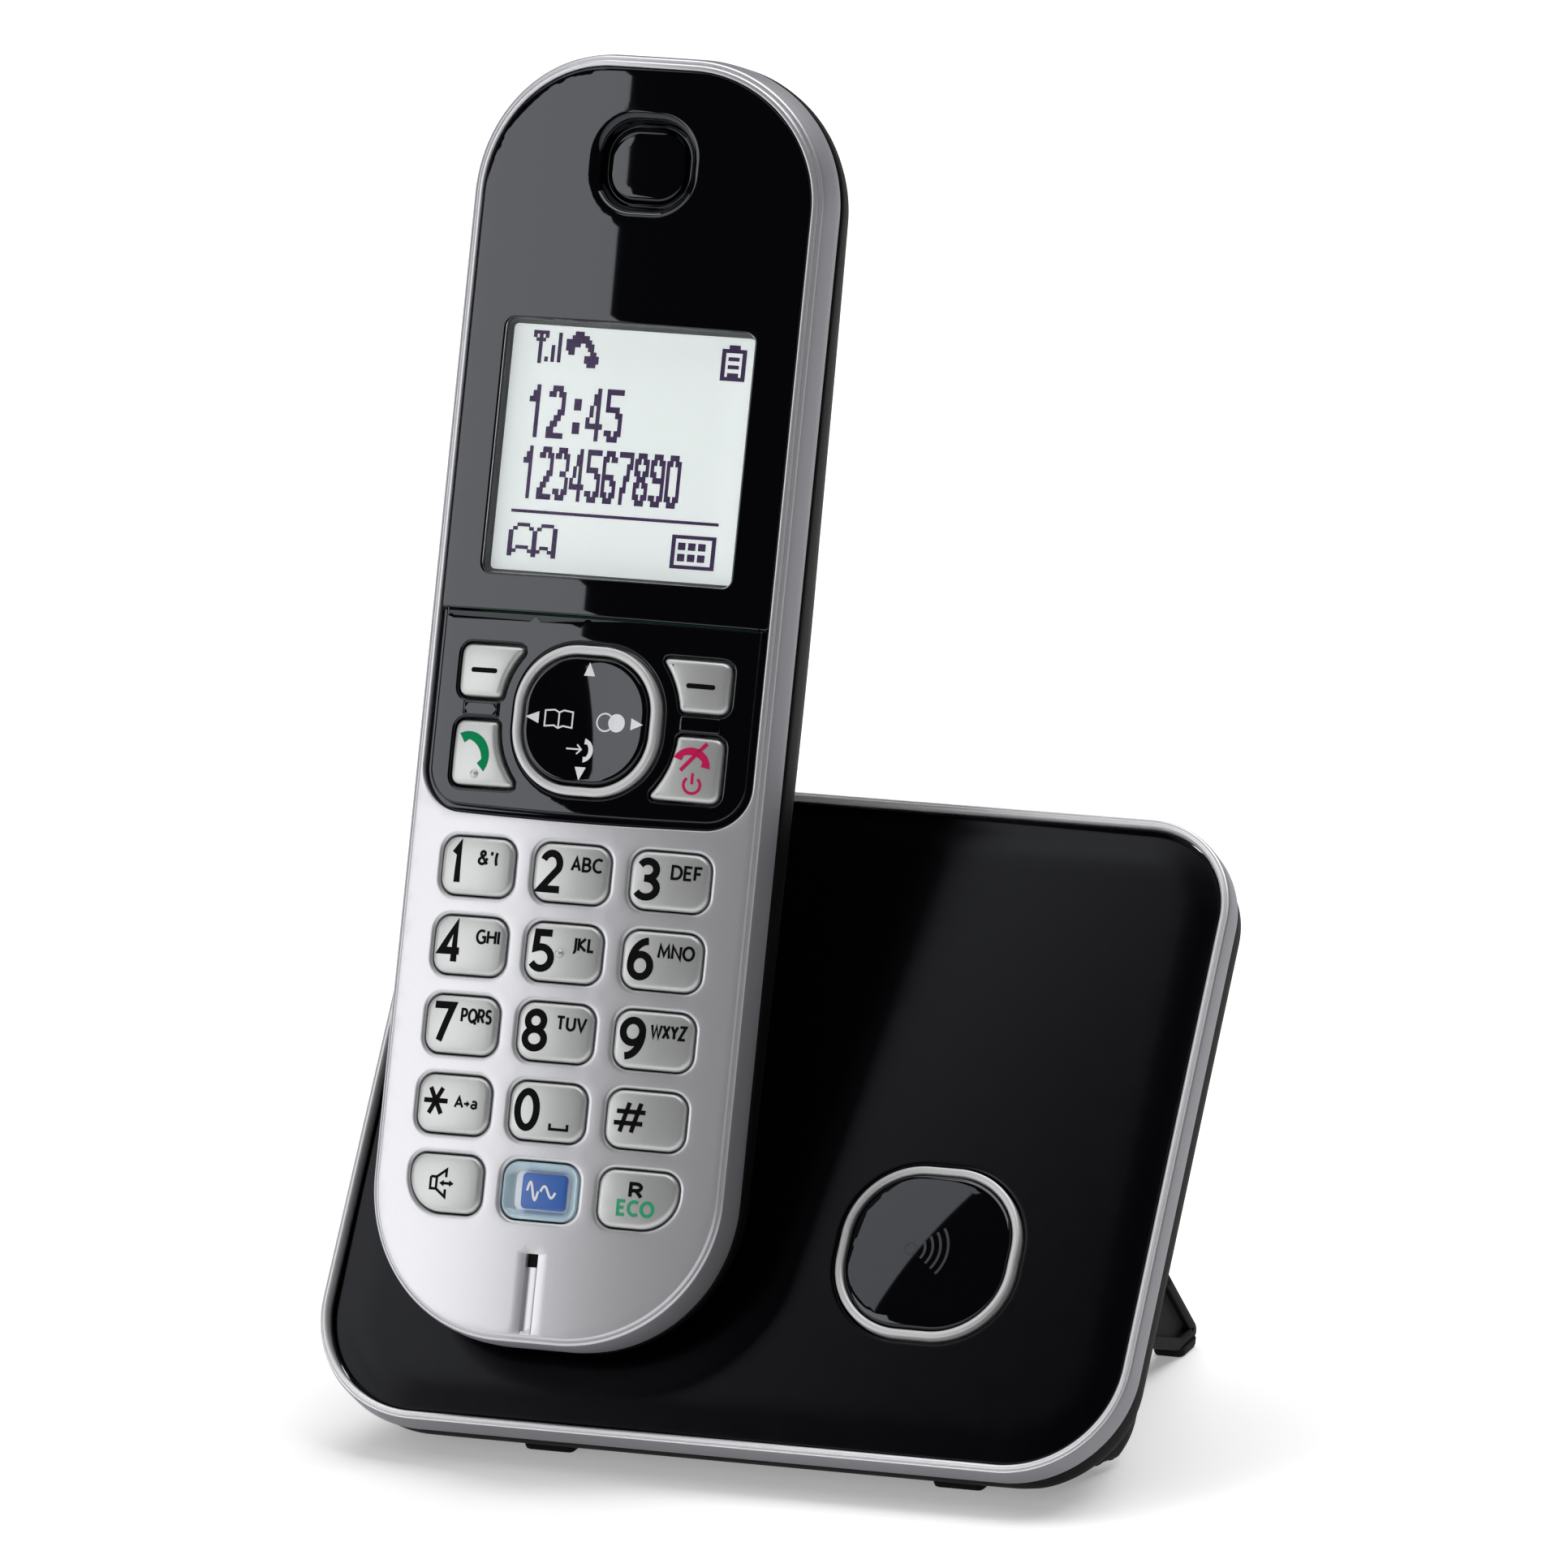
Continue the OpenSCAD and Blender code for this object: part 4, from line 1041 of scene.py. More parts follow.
def display():
    s = Shape()
    profile = [(0.3, lens_below(0.9)), (0.0, lens_below(0.9)), (-0.05, LCD_Z + 0.7), (-0.2, LCD_Z + 0.25),
               (-0.6, LCD_Z)]
    walls = s.stack(around(window_loop(0.1)), profile, flip=True)
    # The LCD floor takes the glowing face: painted light in place of the light through the window
    s.slot = 1
    s.sheet(walls[-1], [], LCD_Z, 3.0)
    s.build("display_face", HANDSET, "handset", [WELL, LCD_GLOW_FACE])
    left, base = -WINDOW_W / 2, WINDOW_Y - WINDOW_H / 2
    marks = []
    for k, digit in enumerate("1234567890"):
        marks.append(pixels(digit, left + 3.6 + 2.15 * k, base + 9.6, 0.37, 0.74))
    for k, digit in enumerate("12:45"):
        marks.append(pixels(digit, left + 3.6 + 2.6 * k, base + 17.3, 0.44, 0.74))
    marks.append(pixels("aerial", left + 3.3, base + 26.6, 0.4, 0.46))
    for k, tall in enumerate((0.9, 2.4, 4.0)):
        x = left + 5.2 + 0.85 * k
        marks.append(strokes([[(x, base + 26.85), (x, base + 26.6 + tall)]], 0.5))
    marks.append(pixels("call", left + 7.8, base + 26.4, 0.37, 0.5))
    marks.append(pixels("cell", left + 28.8, base + 26.0, 0.46, 0.5))
    marks.append(strokes([[(left + 2.6, base + 8.0), (left + 30.6, base + 8.0)]], 0.4))
    marks.append(pixels("book", left + 2.6, base + 2.3, 0.54, 0.47))
    marks.append(pixels("keys", left + 24.6, base + 2.2, 0.45, 0.47))
    add_legend("display_marks", "handset", HANDSET, LCD_Z + 0.03, join(*marks), LCD_INK)
    s = Shape()
    pane = window_loop(0, 0.02)
    top, low = s.loop(pane, lens_below(0.08)), s.loop(pane, lens_below(0.5))
    s.band(low, top)
    s.sheet(top, [], lens_below(0.08), 2.0)
    s.sheet(low, [], lens_below(0.5), 2.0, flip=True)
    s.build("display_window", HANDSET, "handset", WINDOW)


# ---- Handset rear housing ----

REAR_EDGE = 15.5
COVER_LOW, COVER_HIGH, COVER_W, COVER_T = 58.0, 118.0, 34.0, 1.6
COVER_MID = (COVER_LOW + COVER_HIGH) / 2
COVER_GAP = 0.35
TRAY_W, TRAY_LOW, TRAY_HIGH, TRAY_FLOOR = 26.0, 62.0, 112.5, -11.2
PIN_X, PIN_Y = 6.0, 14.0
SCREW_SPOTS = [(-12.0, 10.0), (12.0, 10.0)]
SCREW_SEAT = -12.0


def inset_distance(x, y):
    """How far a point lies inside the handset's outline."""
    dy = y - HANDSET_H / 2
    r = CORNER_TOP if dy > 0 else CORNER_LOW
    qx = abs(x) - HANDSET_W / 2 + r
    qy = abs(dy) - HANDSET_H / 2 + r
    return r - math.hypot(max(qx, 0), max(qy, 0)) - min(max(qx, qy), 0)


def back_height(x, y):
    """The back of the handset with its rounded edges."""
    t = max(0.0, 1 - max(0.0, inset_distance(x, y)) / REAR_EDGE)
    depth = min(REAR_EDGE, PART_LINE - 0.7 - bow(y))
    return bow(y) + depth * (1 - math.sqrt(max(0.0, 1 - t * t)))


def above_back(rise):
    return lambda x, y: back_height(x, y) + rise


BACK_LIP = [(0.3, 0.0), (0.15, 0.02), (0.04, 0.09), (0.0, 0.24)]


def back_hole(s, loop, depth):
    """A hole in the back with a soft lip; depth is its floor's height. Returns its mouth and its floor."""
    loops = [s.loop(offset_loop(loop, d), above_back(z)) for d, z in BACK_LIP]
    loops.append(s.loop(loop, depth))
    s.skin(loops)
    return loops[0], loops[-1]


def disc_loop(x, y, r, n=32):
    return [(x + r * math.cos(math.tau * k / n), y + r * math.sin(math.tau * k / n)) for k in range(n)]


def handset_rear():
    s = Shape()
    start = [(2.0, 0.05), (0.45, 0.05), (0.15, 0.2), (0.04, 0.45)]
    rings = [s.loop(handset_loop(i), PART_LINE - drop) for i, drop in start]
    for angle in (0, 9, 17, 25, 33, 41):
        inset = REAR_EDGE * (1 - math.cos(math.radians(angle)))
        rings.append(s.loop(handset_loop(inset), back_height))
    s.skin(rings)
    w, h = COVER_W + 2 * COVER_GAP, COVER_HIGH - COVER_LOW + 2 * COVER_GAP
    mouth, ledge = back_hole(s, rounded_loop(w, h, [3.35] * 4, (0, COVER_MID), 0, 1.2, 0.5),
                             above_back(2.0))
    holes = [mouth]
    tray_mid = (TRAY_LOW + TRAY_HIGH) / 2
    tray_loop = rounded_loop(TRAY_W, TRAY_HIGH - TRAY_LOW, [1.2] * 4, (0, tray_mid), 0, 1.2, 0.4)
    tray = s.stack(around(tray_loop), [(0.0, above_back(2.0)), (-0.1, above_back(2.3)), (-0.1, TRAY_FLOOR)])
    s.sheet(ledge, [tray[0]], above_back(2.0), 1.5)
    s.sheet(tray[-1], [], TRAY_FLOOR, 3.0)

    def pit(loop, depth, step, slot=0):
        mouth, floor = back_hole(s, loop, depth)
        s.slot = slot
        s.sheet(floor, [], depth, step)
        s.slot = 0
        holes.append(mouth)

    for k in range(-2, 3):
        pit(rounded_loop(12, 1.1, [0.5] * 4, (0, 134.55 + 2.4 * k), 0, 0.8, 0.25), above_back(1.9), 1.0, 1)
    for side in (-1, 1):
        pit(rounded_loop(4.4, 6.4, [0.6] * 4, (side * PIN_X, PIN_Y), 0, 0.8, 0.25), above_back(1.6), 2.0)
    for x, y in SCREW_SPOTS:
        pit(disc_loop(x, y, 1.9), SCREW_SEAT, 2.0)
    s.sheet(rings[-1], holes, back_height, 1.2)
    s.build("handset_rear_shell", HANDSET, "handset", [MATT, RUBBER], ["handset_rear"])


def rail(s, start, end, width, rise):
    """A low rounded bar standing off the handset's back along a straight path."""
    d = (Vector(end) - Vector(start)).normalized()
    n = Vector((-d.y, d.x))

    def pill(r):
        out = []
        for (x, y), first in ((start, 90), (end, -90)):
            for t in [math.radians(first + 180 * k / 8) for k in range(9)]:
                c, q = math.cos(t), math.sin(t)
                out.append((x + r * (d.x * c + n.x * q), y + r * (d.y * c + n.y * q)))
        return out

    half = width / 2
    steps = [(half + 0.15, -0.05), (half, 0.12 * rise), (half * 0.8, 0.62 * rise),
             (half * 0.5, 0.93 * rise), (half * 0.12, rise)]
    rings = s.stack(pill, steps, lambda lift: above_back(-lift), flip=True)
    s.face(rings[-1][::-1])


def battery_cover():
    s = Shape()
    outline = rounded_loop(COVER_W, COVER_HIGH - COVER_LOW, [3.0] * 4, (0, COVER_MID), 0, 1.2, 0.5)
    h = COVER_T / 2
    edge = []
    for a in [math.radians(-90 + 180 * k / 8) for k in range(9)]:
        edge.append((-h * (1 - math.cos(a)), h - h * math.sin(a)))
    rings = s.stack(around(outline), edge, above_back, flip=True)
    s.sheet(rings[0], [], above_back(COVER_T), 2.0, flip=True)
    s.sheet(rings[-1], [], back_height, 1.3)
    for k in range(6):
        half, y = 7.5 - 0.35 * k, 102.5 + 1.9 * k
        rail(s, (-half, y), (half, y), 1.0, 0.38)
    for side in (-1, 1):
        rail(s, (side * 3.2, 98.8), (0, 96.2), 0.8, 0.3)
    s.build("battery_cover_shell", HANDSET, "battery_cover", MATT, ["battery_cover"])


def sides_of(axis):
    """The axis as a unit vector, and two directions square to it."""
    axis = Vector(axis).normalized()
    side = axis.orthogonal().normalized()
    return axis, side, axis.cross(side)


def lathe(s, profile, at, axis, n=32, slots=None):
    """Turns (radius, distance) pairs round an axis from a point, in the shape's own frame."""
    axis, side, other = sides_of(axis)
    at = Vector(at)
    turn = [math.tau * k / n for k in range(n)]
    rings = []
    for r, d in profile:
        centre = at + axis * d
        rings.append(s.points([centre + (side * math.cos(a) + other * math.sin(a)) * r for a in turn]))
    for k, (a, b) in enumerate(zip(rings, rings[1:])):
        s.slot = slots[k] if slots else 0
        s.band(a, b)
    s.slot = 0
    if profile[0][0] > 0:
        s.face(rings[0][::-1])
    if profile[-1][0] > 0:
        s.face(rings[-1])


CELL_X, CELL_Z, CELL_LOW, CELL_R, CELL_LENGTH = 6.4, -16.6, 65.0, 5.25, 44.5


def cells():
    """Two cells that lie head to tail; the slots are sleeve, steel and the white band."""
    profile = [(0.0, 0.0), (3.9, 0.0), (4.3, 0.1), (4.6, 0.35), (4.75, 0.35), (5.1, 0.5), (CELL_R, 0.9),
               (CELL_R, 9.0), (CELL_R, 9.05), (CELL_R, 33.0), (CELL_R, 33.05), (CELL_R, 42.2),
               (5.1, 42.8), (4.6, 43.1), (3.2, 43.15), (2.6, 43.0), (1.95, 43.1), (1.9, 44.2),
               (1.7, 44.45), (0.0, CELL_LENGTH)]
    slots = [1, 1, 1, 0, 0, 0, 2, 0, 0, 0, 2, 0, 0, 2, 1, 1, 1, 1, 1]
    for side, name, foot in ((-1, "left", CELL_LOW), (1, "right", CELL_LOW + CELL_LENGTH)):
        s = Shape()
        lathe(s, profile, (side * CELL_X, foot, CELL_Z), (0, -side, 0), 40, slots)
        s.build("cell_" + name, HANDSET, "handset", [SLEEVE, STEEL, WHITE_INK], ["battery_" + name])


def tube(s, path, r, n=8):
    """A round wire through points."""
    rings = []
    pts = [Vector(p) for p in path]
    for k, p in enumerate(pts):
        d = (pts[min(k + 1, len(pts) - 1)] - pts[max(k - 1, 0)]).normalized()
        side = d.cross(Vector((0.3, 0.2, 1))).normalized()
        other = d.cross(side)
        turn = [math.tau * j / n for j in range(n)]
        rings.append(s.points([p + (side * math.cos(a) + other * math.sin(a)) * r for a in turn]))
    s.skin(rings)
    s.face(rings[0][::-1])
    s.face(rings[-1])


def terminals():
    """A plate at both ends of each cell: the flat end meets a coil, the other a button."""
    s = Shape()
    for side in (-1, 1):
        for y, way in ((TRAY_LOW + 1.8, 1), (TRAY_HIGH - 2.4, -1)):
            plate = rounded_loop(7.6, 7.6, [1.0] * 4, (side * CELL_X, CELL_Z), 0, 1.0, 0.4)
            rings = []
            for d, lift in [(-0.25, 0.0), (0.0, 0.12), (0.0, 0.38), (-0.25, 0.5)]:
                rings.append(s.points([(x, y + lift, z) for x, z in offset_loop(plate, d)]))
            s.skin(rings)
            s.face(rings[0][::-1])
            s.face(rings[-1])
            start = y + 0.5 if way > 0 else y
            if side * way > 0:
                coil = []
                for k in range(49):
                    a, r = math.tau * k / 14, mix(3.0, 1.5, k / 48)
                    place_y = start + way * (0.2 + 0.7 * k / 48)
                    coil.append((side * CELL_X + r * math.cos(a), place_y, CELL_Z + r * math.sin(a)))
                tube(s, coil, 0.2)
            else:
                button = [(1.8, 0.0), (1.6, 0.25), (1.0, 0.45), (0.0, 0.5)]
                lathe(s, button, (side * CELL_X, start, CELL_Z), (0, way, 0), 20)
    s.build("battery_springs", HANDSET, "handset", CONTACT, ["battery_terminals"])


def screw_head(s, at, r):
    """A domed screw head that faces backwards, with a dark cross on it."""
    lathe(s, [(r, -0.9), (r, -0.25), (r * 0.93, -0.05), (r * 0.75, 0.08), (r * 0.5, 0.14)], at,
          (0, 0, -1), 28)
    axis, side, other = sides_of((0, 0, -1))
    a, b = r * 0.5, r * 0.13
    cross = [(b, b), (b, a), (-b, a), (-b, b), (-a, b), (-a, -b), (-b, -b), (-b, -a), (b, -a), (b, -b),
             (a, -b), (a, b)]
    s.slot = 1
    s.face(s.points([Vector(at) + axis * 0.16 + side * x + other * y for x, y in cross]))
    s.slot = 0


def handset_metal():
    s = Shape()
    for x, y in SCREW_SPOTS:
        screw_head(s, (x, y, SCREW_SEAT - 0.6), 1.7)
    s.build("handset_screw_heads", HANDSET, "handset", [STEEL, RUBBER], ["handset_screws"])
    s = Shape()
    for side in (-1, 1):
        pad = rounded_loop(3.7, 5.7, [0.5] * 4, (side * PIN_X, PIN_Y), 0, 0.7, 0.2)
        rings = s.stack(around(pad), [(0, 1.5), (0, 0.75), (-0.12, 0.6), (-0.4, 0.5)], above_back)
        s.sheet(rings[-1], [], above_back(0.5), 1.0)
    s.build("handset_contact_pads", HANDSET, "handset", CONTACT, ["handset_contacts"])


# ---- Base: panel with its pocket ----

POCKET_EDGE = 13.5
POCKET_GAP = 0.55
PANEL_ROLL = 5.0
PANEL_DROP = 0.3
PANEL_DOME = 2.4
TO_HANDSET = HANDSET.inverted() @ PLATE


def pocket_distance(x, y, z):
    """Distance of a plate point from the handset's back and sides."""
    p = TO_HANDSET @ Vector((x, y, z))
    a = POCKET_EDGE - inset_distance(p.x, p.y)
    b = POCKET_EDGE + bow(p.y) - p.z
    return min(max(a, b), 0) + math.hypot(max(a, 0), max(b, 0)) - POCKET_EDGE


def panel_inset(x, y):
    """How far a plate point lies inside the panel's outline."""
    dy = y - PLATE_H / 2
    r = PANEL_R_TOP if dy > 0 else PANEL_R_LOW
    qx = abs(x) - PLATE_W / 2 + r
    qy = abs(dy) - PLATE_H / 2 + r
    return r - math.hypot(max(qx, 0), max(qy, 0)) - min(max(qx, qy), 0)


def panel_height(x, y):
    """The panel's face is slightly domed and falls away a little towards its edge."""
    dome = PANEL_DOME * ((x / PLATE_W) ** 2 + (y / PLATE_H - 0.5) ** 2)
    return -dome - PANEL_DROP * (1 - smooth(0.6, PANEL_ROLL, panel_inset(x, y))) ** 1.5


def under_panel(drop):
    return lambda x, y: panel_height(x, y) - drop


SEAT_X = (PLATE.inverted() @ HANDSET @ Vector((0, 0, 0))).x


def solve(f, a, b, steps=34):
    """The place between a and b where f changes sign."""
    fa = f(a)
    for _ in range(steps):
        m = (a + b) / 2
        if (f(m) > 0) == (fa > 0):
            a = m
        else:
            b = m
    return (a + b) / 2


def pocket_contour(z, n=132):
    """The pocket's outline at one depth under the panel's face, or None below its floor."""
    ys = [8 + 0.25 * k for k in range(170)]
    within = [y for y in ys if pocket_distance(SEAT_X, y, z) < POCKET_GAP]
    if len(within) < 6:
        return None
    cy, hh = (within[0] + within[-1]) / 2, (within[-1] - within[0]) / 2
    out = []
    for k in range(n):
        a = math.tau * k / n
        dx, dy = HANDSET_W / 2 * math.cos(a), hh * math.sin(a)
        t = solve(lambda q: pocket_distance(SEAT_X + dx * q, cy + dy * q, z) - POCKET_GAP, 0.0, 1.7)
        out.append((SEAT_X + dx * t, cy + dy * t))
    return out


def base_panel():
    s = Shape()
    edge = [(0.12, -2.2), (0.12, -0.95), (0.2, -0.68), (0.38, -0.48), (0.6, panel_height),
            (1.0, panel_height)]
    rim = s.stack(panel_loop, edge)
    lip = [(2.3, 0.0), (1.75, 0.03), (1.25, 0.1), (0.85, 0.22), (0.5, 0.4), (0.22, 0.65)]
    mouth = pocket_contour(-0.9)
    pocket = [s.loop(offset_loop(mouth, d), under_panel(drop)) for d, drop in lip]
    depth = -1.0
    contour = pocket_contour(depth)
    while contour:
        pocket.append(s.loop(contour, depth))
        depth -= 0.35
        contour = pocket_contour(depth)
    s.skin(pocket, flip=True)
    s.face(pocket[-1])
    edge = [(0.7, 0.0), (0.4, 0.0), (0.15, 0.01), (0.06, 0.07), (0.01, 0.15), (0.0, 0.3), (0.0, 2.0)]
    hole = s.stack(around(locator_loop(-0.35)), edge, under_panel, flip=True)
    s.sheet(rim[-1], [pocket[0], hole[0]], panel_height, 1.6)
    s.build("base_panel_shell", PLATE, "base", PANEL, ["base_panel"])


def locator_loop(inset):
    return rounded_loop(LOCATOR_W, LOCATOR_H, [LOCATOR_R] * 4, (LOCATOR_X, LOCATOR_Y), inset, 0.6, 0.45)


# Inset and height of the rim's section: bead, fine groove, then the side from RIM_FOLD on, in the darkened silver
# that paints shade on it
RIM_PROFILE = [(0.0, -1.4), (0.0, -0.35), (-0.05, -0.1), (-0.16, 0.1), (-0.3, 0.24), (-0.44, 0.3),
               (-0.58, 0.26), (-0.66, 0.12), (-0.7, -0.08), (-0.76, -0.14), (-0.84, -0.06),
               (-0.94, -0.02), (-1.06, -0.1), (-1.14, -0.28), (-1.2, -0.6), (-1.2, -1.8), (-1.18, -3.3),
               (-1.12, -3.7), (-0.95, -3.87), (-0.4, -3.9)]
RIM_FOLD = 12


def base_rim():
    s = Shape()
    rings = [s.loop(panel_loop(i), z) for i, z in RIM_PROFILE]
    s.skin(rings[:RIM_FOLD + 1])
    # The rim's side takes the darkened silver: painted shade
    s.slot = 1
    s.skin(rings[RIM_FOLD:])
    s.build("base_rim_trim", PLATE, "base", [RIM_SILVER, SILVER_SHADED_SIDE], ["base_rim"])


def locator():
    ring_shape(locator_loop, LOCATOR_BAND, -1.8, 0.5, PLATE, "locator_button", "locator_ring")
    height = pad_shape(lambda i: locator_loop(LOCATOR_BAND + 0.12 + i), (LOCATOR_X, LOCATOR_Y), 1.2,
                       0.0062, -1.8, PLATE, "locator_button", "locator_pad")
    x, y = LOCATOR_X - 1.9, LOCATOR_Y
    mark = strokes([arc_points(x, y, 0.75, 0, 360, 24)], 0.3)
    waves = strokes([arc_points(x, y, r, -38, 38, 14) for r in (1.9, 2.9, 3.9, 4.9)], 0.34)
    add_legend("locator_mark", "locator_button", PLATE, lambda a, b: height(a, b) + 0.02,
               join(mark, waves), PANEL_MARK)


# ---- Base: shell, sockets, legs, feet ----

BASE_DEPTH = 20.0
BASE_SCREWS = [(-43, 70), (43, 70), (-43, 18), (43, 18)]
FROM_WORLD = PLATE.inverted() @ TO_METRES
SOCKET_FACE_Y = 10.7
SOCKET_X, SOCKET_Z = 21.9, 30.0
DC_X, LINE_X = 30.0, 14.0
JACK_FRONT = 10.8
SCREW_FLOOR = -18.7
LABEL_FLOOR, LABEL_TOP = -19.75, -19.86


def plate_y_at(world_z, h):
    """Distance up the plate of the point at this height over the table and this depth."""
    p0 = PLATE @ Vector((0, 0, h))
    p1 = PLATE @ Vector((0, 1, h))
    return (world_z * MM - p0.z) / (p1.z - p0.z)


def flat_bottom(points, h):
    """Keeps the shell's points over its flat underside."""
    low = plate_y_at(FOOT_HEIGHT, h)
    return [(x, low + ((y - low) + math.sqrt((y - low) ** 2 + 0.16)) / 2) for x, y in points]


SHELL_OUT = 0.3
# Inset and depth of the shell, from the rim to the flat back
SHELL_PROFILE = [(1.4, -3.9), (0.2, -3.96), (-0.1, -4.06), (-0.26, -4.3), (-0.3, -4.7), (-0.26, -7.0),
                 (-0.15, -8.2), (0.1, -8.85), (0.6, -9.2), (1.4, -9.35), (2.8, -9.5), (3.6, -9.75),
                 (4.0, -10.3), (4.1, -12.5), (4.15, -16.5), (4.25, -18.4), (4.45, -19.2), (4.9, -19.75),
                 (5.6, -19.95), (6.2, -20.0)]


def shell_loop(inset):
    """The shell's outline, which narrows at the sides and the top but keeps its reach at the bottom."""
    out = []
    for x, y in panel_loop(inset):
        share = (1 - smooth(20, 60, y)) * (1 - smooth(34, 50, abs(x)))
        out.append((x, y - (inset + SHELL_OUT) * share))
    return out


def world_loop(s, outline, y):
    """A loop in a plane across the world's depth, given as (x, z) points."""
    return s.points([FROM_WORLD @ Vector((x, y, z)) for x, z in outline])


def base_shell():
    s = Shape()
    rings = s.stack(lambda i: i, [(flat_bottom(shell_loop(i), z), z) for i, z in SHELL_PROFILE], flip=True)
    holes = []
    for x, y in BASE_SCREWS:
        profile = [(3.4, -BASE_DEPTH), (3.15, -19.95), (3.0, -19.75), (3.0, SCREW_FLOOR)]
        well_rings = s.stack(lambda r: disc_loop(x, y, r), profile)
        s.sheet(well_rings[-1], [], SCREW_FLOOR, 3.0)
        holes.append(well_rings[0])
    face = rounded_loop(29.4, 12.4, [1.6] * 4, (SOCKET_X, SOCKET_Z), 0, 1.2, 0.4)
    cut = s.loop([(x, plate_y_at(z, -BASE_DEPTH)) for x, z in offset_loop(face, 0.25)], -BASE_DEPTH)
    walls = [cut]
    for d, drop in [(0.0, 0.35), (-0.1, 0.1), (-0.35, 0.0)]:
        walls.append(world_loop(s, offset_loop(face, d), SOCKET_FACE_Y - drop))
    s.skin(walls)
    holes.append(cut)
    mouths = []
    for x, size in ((DC_X, (9.6, 8.6)), (LINE_X, (12.6, 9.6))):
        mouth = rounded_loop(*size, [0.7] * 4, (x, SOCKET_Z), 0, 1.0, 0.3)
        edge = [(0.2, 0.0), (0.05, 0.06), (0.0, 0.2), (0.0, 3.0)]
        s.skin([world_loop(s, offset_loop(mouth, d), SOCKET_FACE_Y - drop) for d, drop in edge])
        mouths.append(offset_loop(mouth, 0.2))
    wall_sheet(s, offset_loop(face, -0.35), mouths, SOCKET_FACE_Y)
    dish = s.stack(around(label_loop(46, 19, 1.5)), [(0.2, -BASE_DEPTH), (0.0, -19.9), (-0.1, LABEL_FLOOR)])
    s.sheet(dish[-1], [], LABEL_FLOOR, 4.0)
    holes.append(dish[0])
    s.sheet(rings[-1], holes, -BASE_DEPTH, 3.0)
    s.build("base_shell_body", PLATE, "base", MATT, ["base_shell"])
    base_label()


def wall_sheet(s, outer, holes, y):
    """Fills between loops that lie in a plane across the world's depth."""
    t = Shape()
    t.sheet(t.loop(outer, 0), [t.loop(h, 0) for h in holes], 0, 2.0)
    ids = world_loop(s, [(x, z) for x, z, _ in t.verts], y)
    for f in t.faces:
        s.face([ids[i] for i in f])


def label_loop(w, h, r):
    return rounded_loop(w, h, [r] * 4, (-16, 34), 0, 1.5, 0.5)


def base_label():
    s = Shape()
    rings = s.stack(around(label_loop(45, 18, 1.2)), [(0.0, -19.76), (0.0, -19.82), (-0.08, LABEL_TOP)],
                    flip=True)
    s.sheet(rings[-1], [], LABEL_TOP, 4.0)
    s.build("base_label", PLATE, "base", LABEL)
    lines = []
    for k, length in enumerate((30, 24, 33, 18, 27)):
        lines.append([(4 - length, 40 - 2.6 * k), (4, 40 - 2.6 * k)])
    box = rounded_loop(6, 6, [0.4] * 4, (-34.5, 31), 0, 1.0, 0.3)
    cross = [[(-37, 28.5), (-32, 33.5)], [(-37, 33.5), (-32, 28.5)], [(-37.5, 27), (-31.5, 27)]]
    marks = strokes(lines + [box + box[:1]] + cross, 0.45)
    add_legend("base_label_marks", "base", PLATE, LABEL_TOP - 0.02, marks, WHITE_INK)


BACK = TO_METRES @ Matrix(((-1, 0, 0, 0), (0, 0, 1, 0), (0, 1, 0, 0), (0, 0, 0, 1)))


def jack(x, size, mouth, depth):
    """A socket body facing backwards: a frame, its mouth and the hollow behind it."""
    s = Shape()
    outline = rounded_loop(size[0], size[1], [0.6] * 4, (x, SOCKET_Z), 0, 0.8, 0.25)
    rings = s.stack(around(outline), [(0, 6), (0, 0.2), (-0.08, 0.05), (-0.22, 0)], behind_jack)
    inner = s.stack(around(mouth), [(0.25, 0), (0.08, 0.06), (0.0, 0.25), (0.0, depth)], behind_jack,
                    flip=True)
    s.sheet(inner[-1], [], behind_jack(depth), 2.0)
    s.sheet(rings[-1], [inner[0]], behind_jack(0), 1.5)
    return s


def behind_jack(drop):
    return JACK_FRONT - drop


def sockets():
    """The mains-adaptor socket with its pin and the line socket with its four wires."""
    x = -DC_X
    s = jack(x, (9.2, 8.2), rounded_loop(7, 6, [1.4] * 4, (x, SOCKET_Z), 0, 0.6, 0.25), 9.0)
    lathe(s, [(0.8, 0.0), (0.8, 5.6), (0.62, 6.0), (0.3, 6.2), (0.0, 6.25)],
          (x, SOCKET_Z, behind_jack(8.9)), (0, 0, 1), 20, [1, 1, 1, 1])
    s.build("power_socket_body", BACK, "base", [MATT, CONTACT], ["dc_jack"])
    x = -LINE_X
    low, high = 26.9, 33.5
    corners = [(x - 5, low, 0.3), (x - 2, low, 0), (x - 2, low - 1, 0.2), (x + 2, low - 1, 0.2),
               (x + 2, low, 0), (x + 5, low, 0.3), (x + 5, high, 0.3), (x - 5, high, 0.3)]
    s = jack(x, (12.2, 9.4), resample(round_corners(corners, 0.2), 0.5), 10.0)
    s.slot = 1
    for k in range(4):
        cx = x - 1.6 + 1.07 * k
        bends = [(33.2, 1.4), (32.7, 2.0), (29.6, 7.6), (29.4, 9.6)]
        wire = [(cx, z, behind_jack(drop)) for z, drop in bends]
        tube(s, wire, 0.22, 6)
    s.build("line_socket_body", BACK, "base", [MATT, CONTACT], ["line_jack"])


LEG_CORNERS = [(42.6, 27.4, 0.3), (45.5, 26.0, 1.2), (66.6, 2.4, 1.3), (66.0, 1.22, 0.5),
               (60.2, 1.22, 0.8), (30.0, 12.4, 0.3)]
LEG_EDGE = [(-0.45, 2.0), (-0.2, 1.93), (-0.06, 1.8), (0.0, 1.55)]
LEG_X = 38.6
PANEL_LOW_Y = plate_y / MM
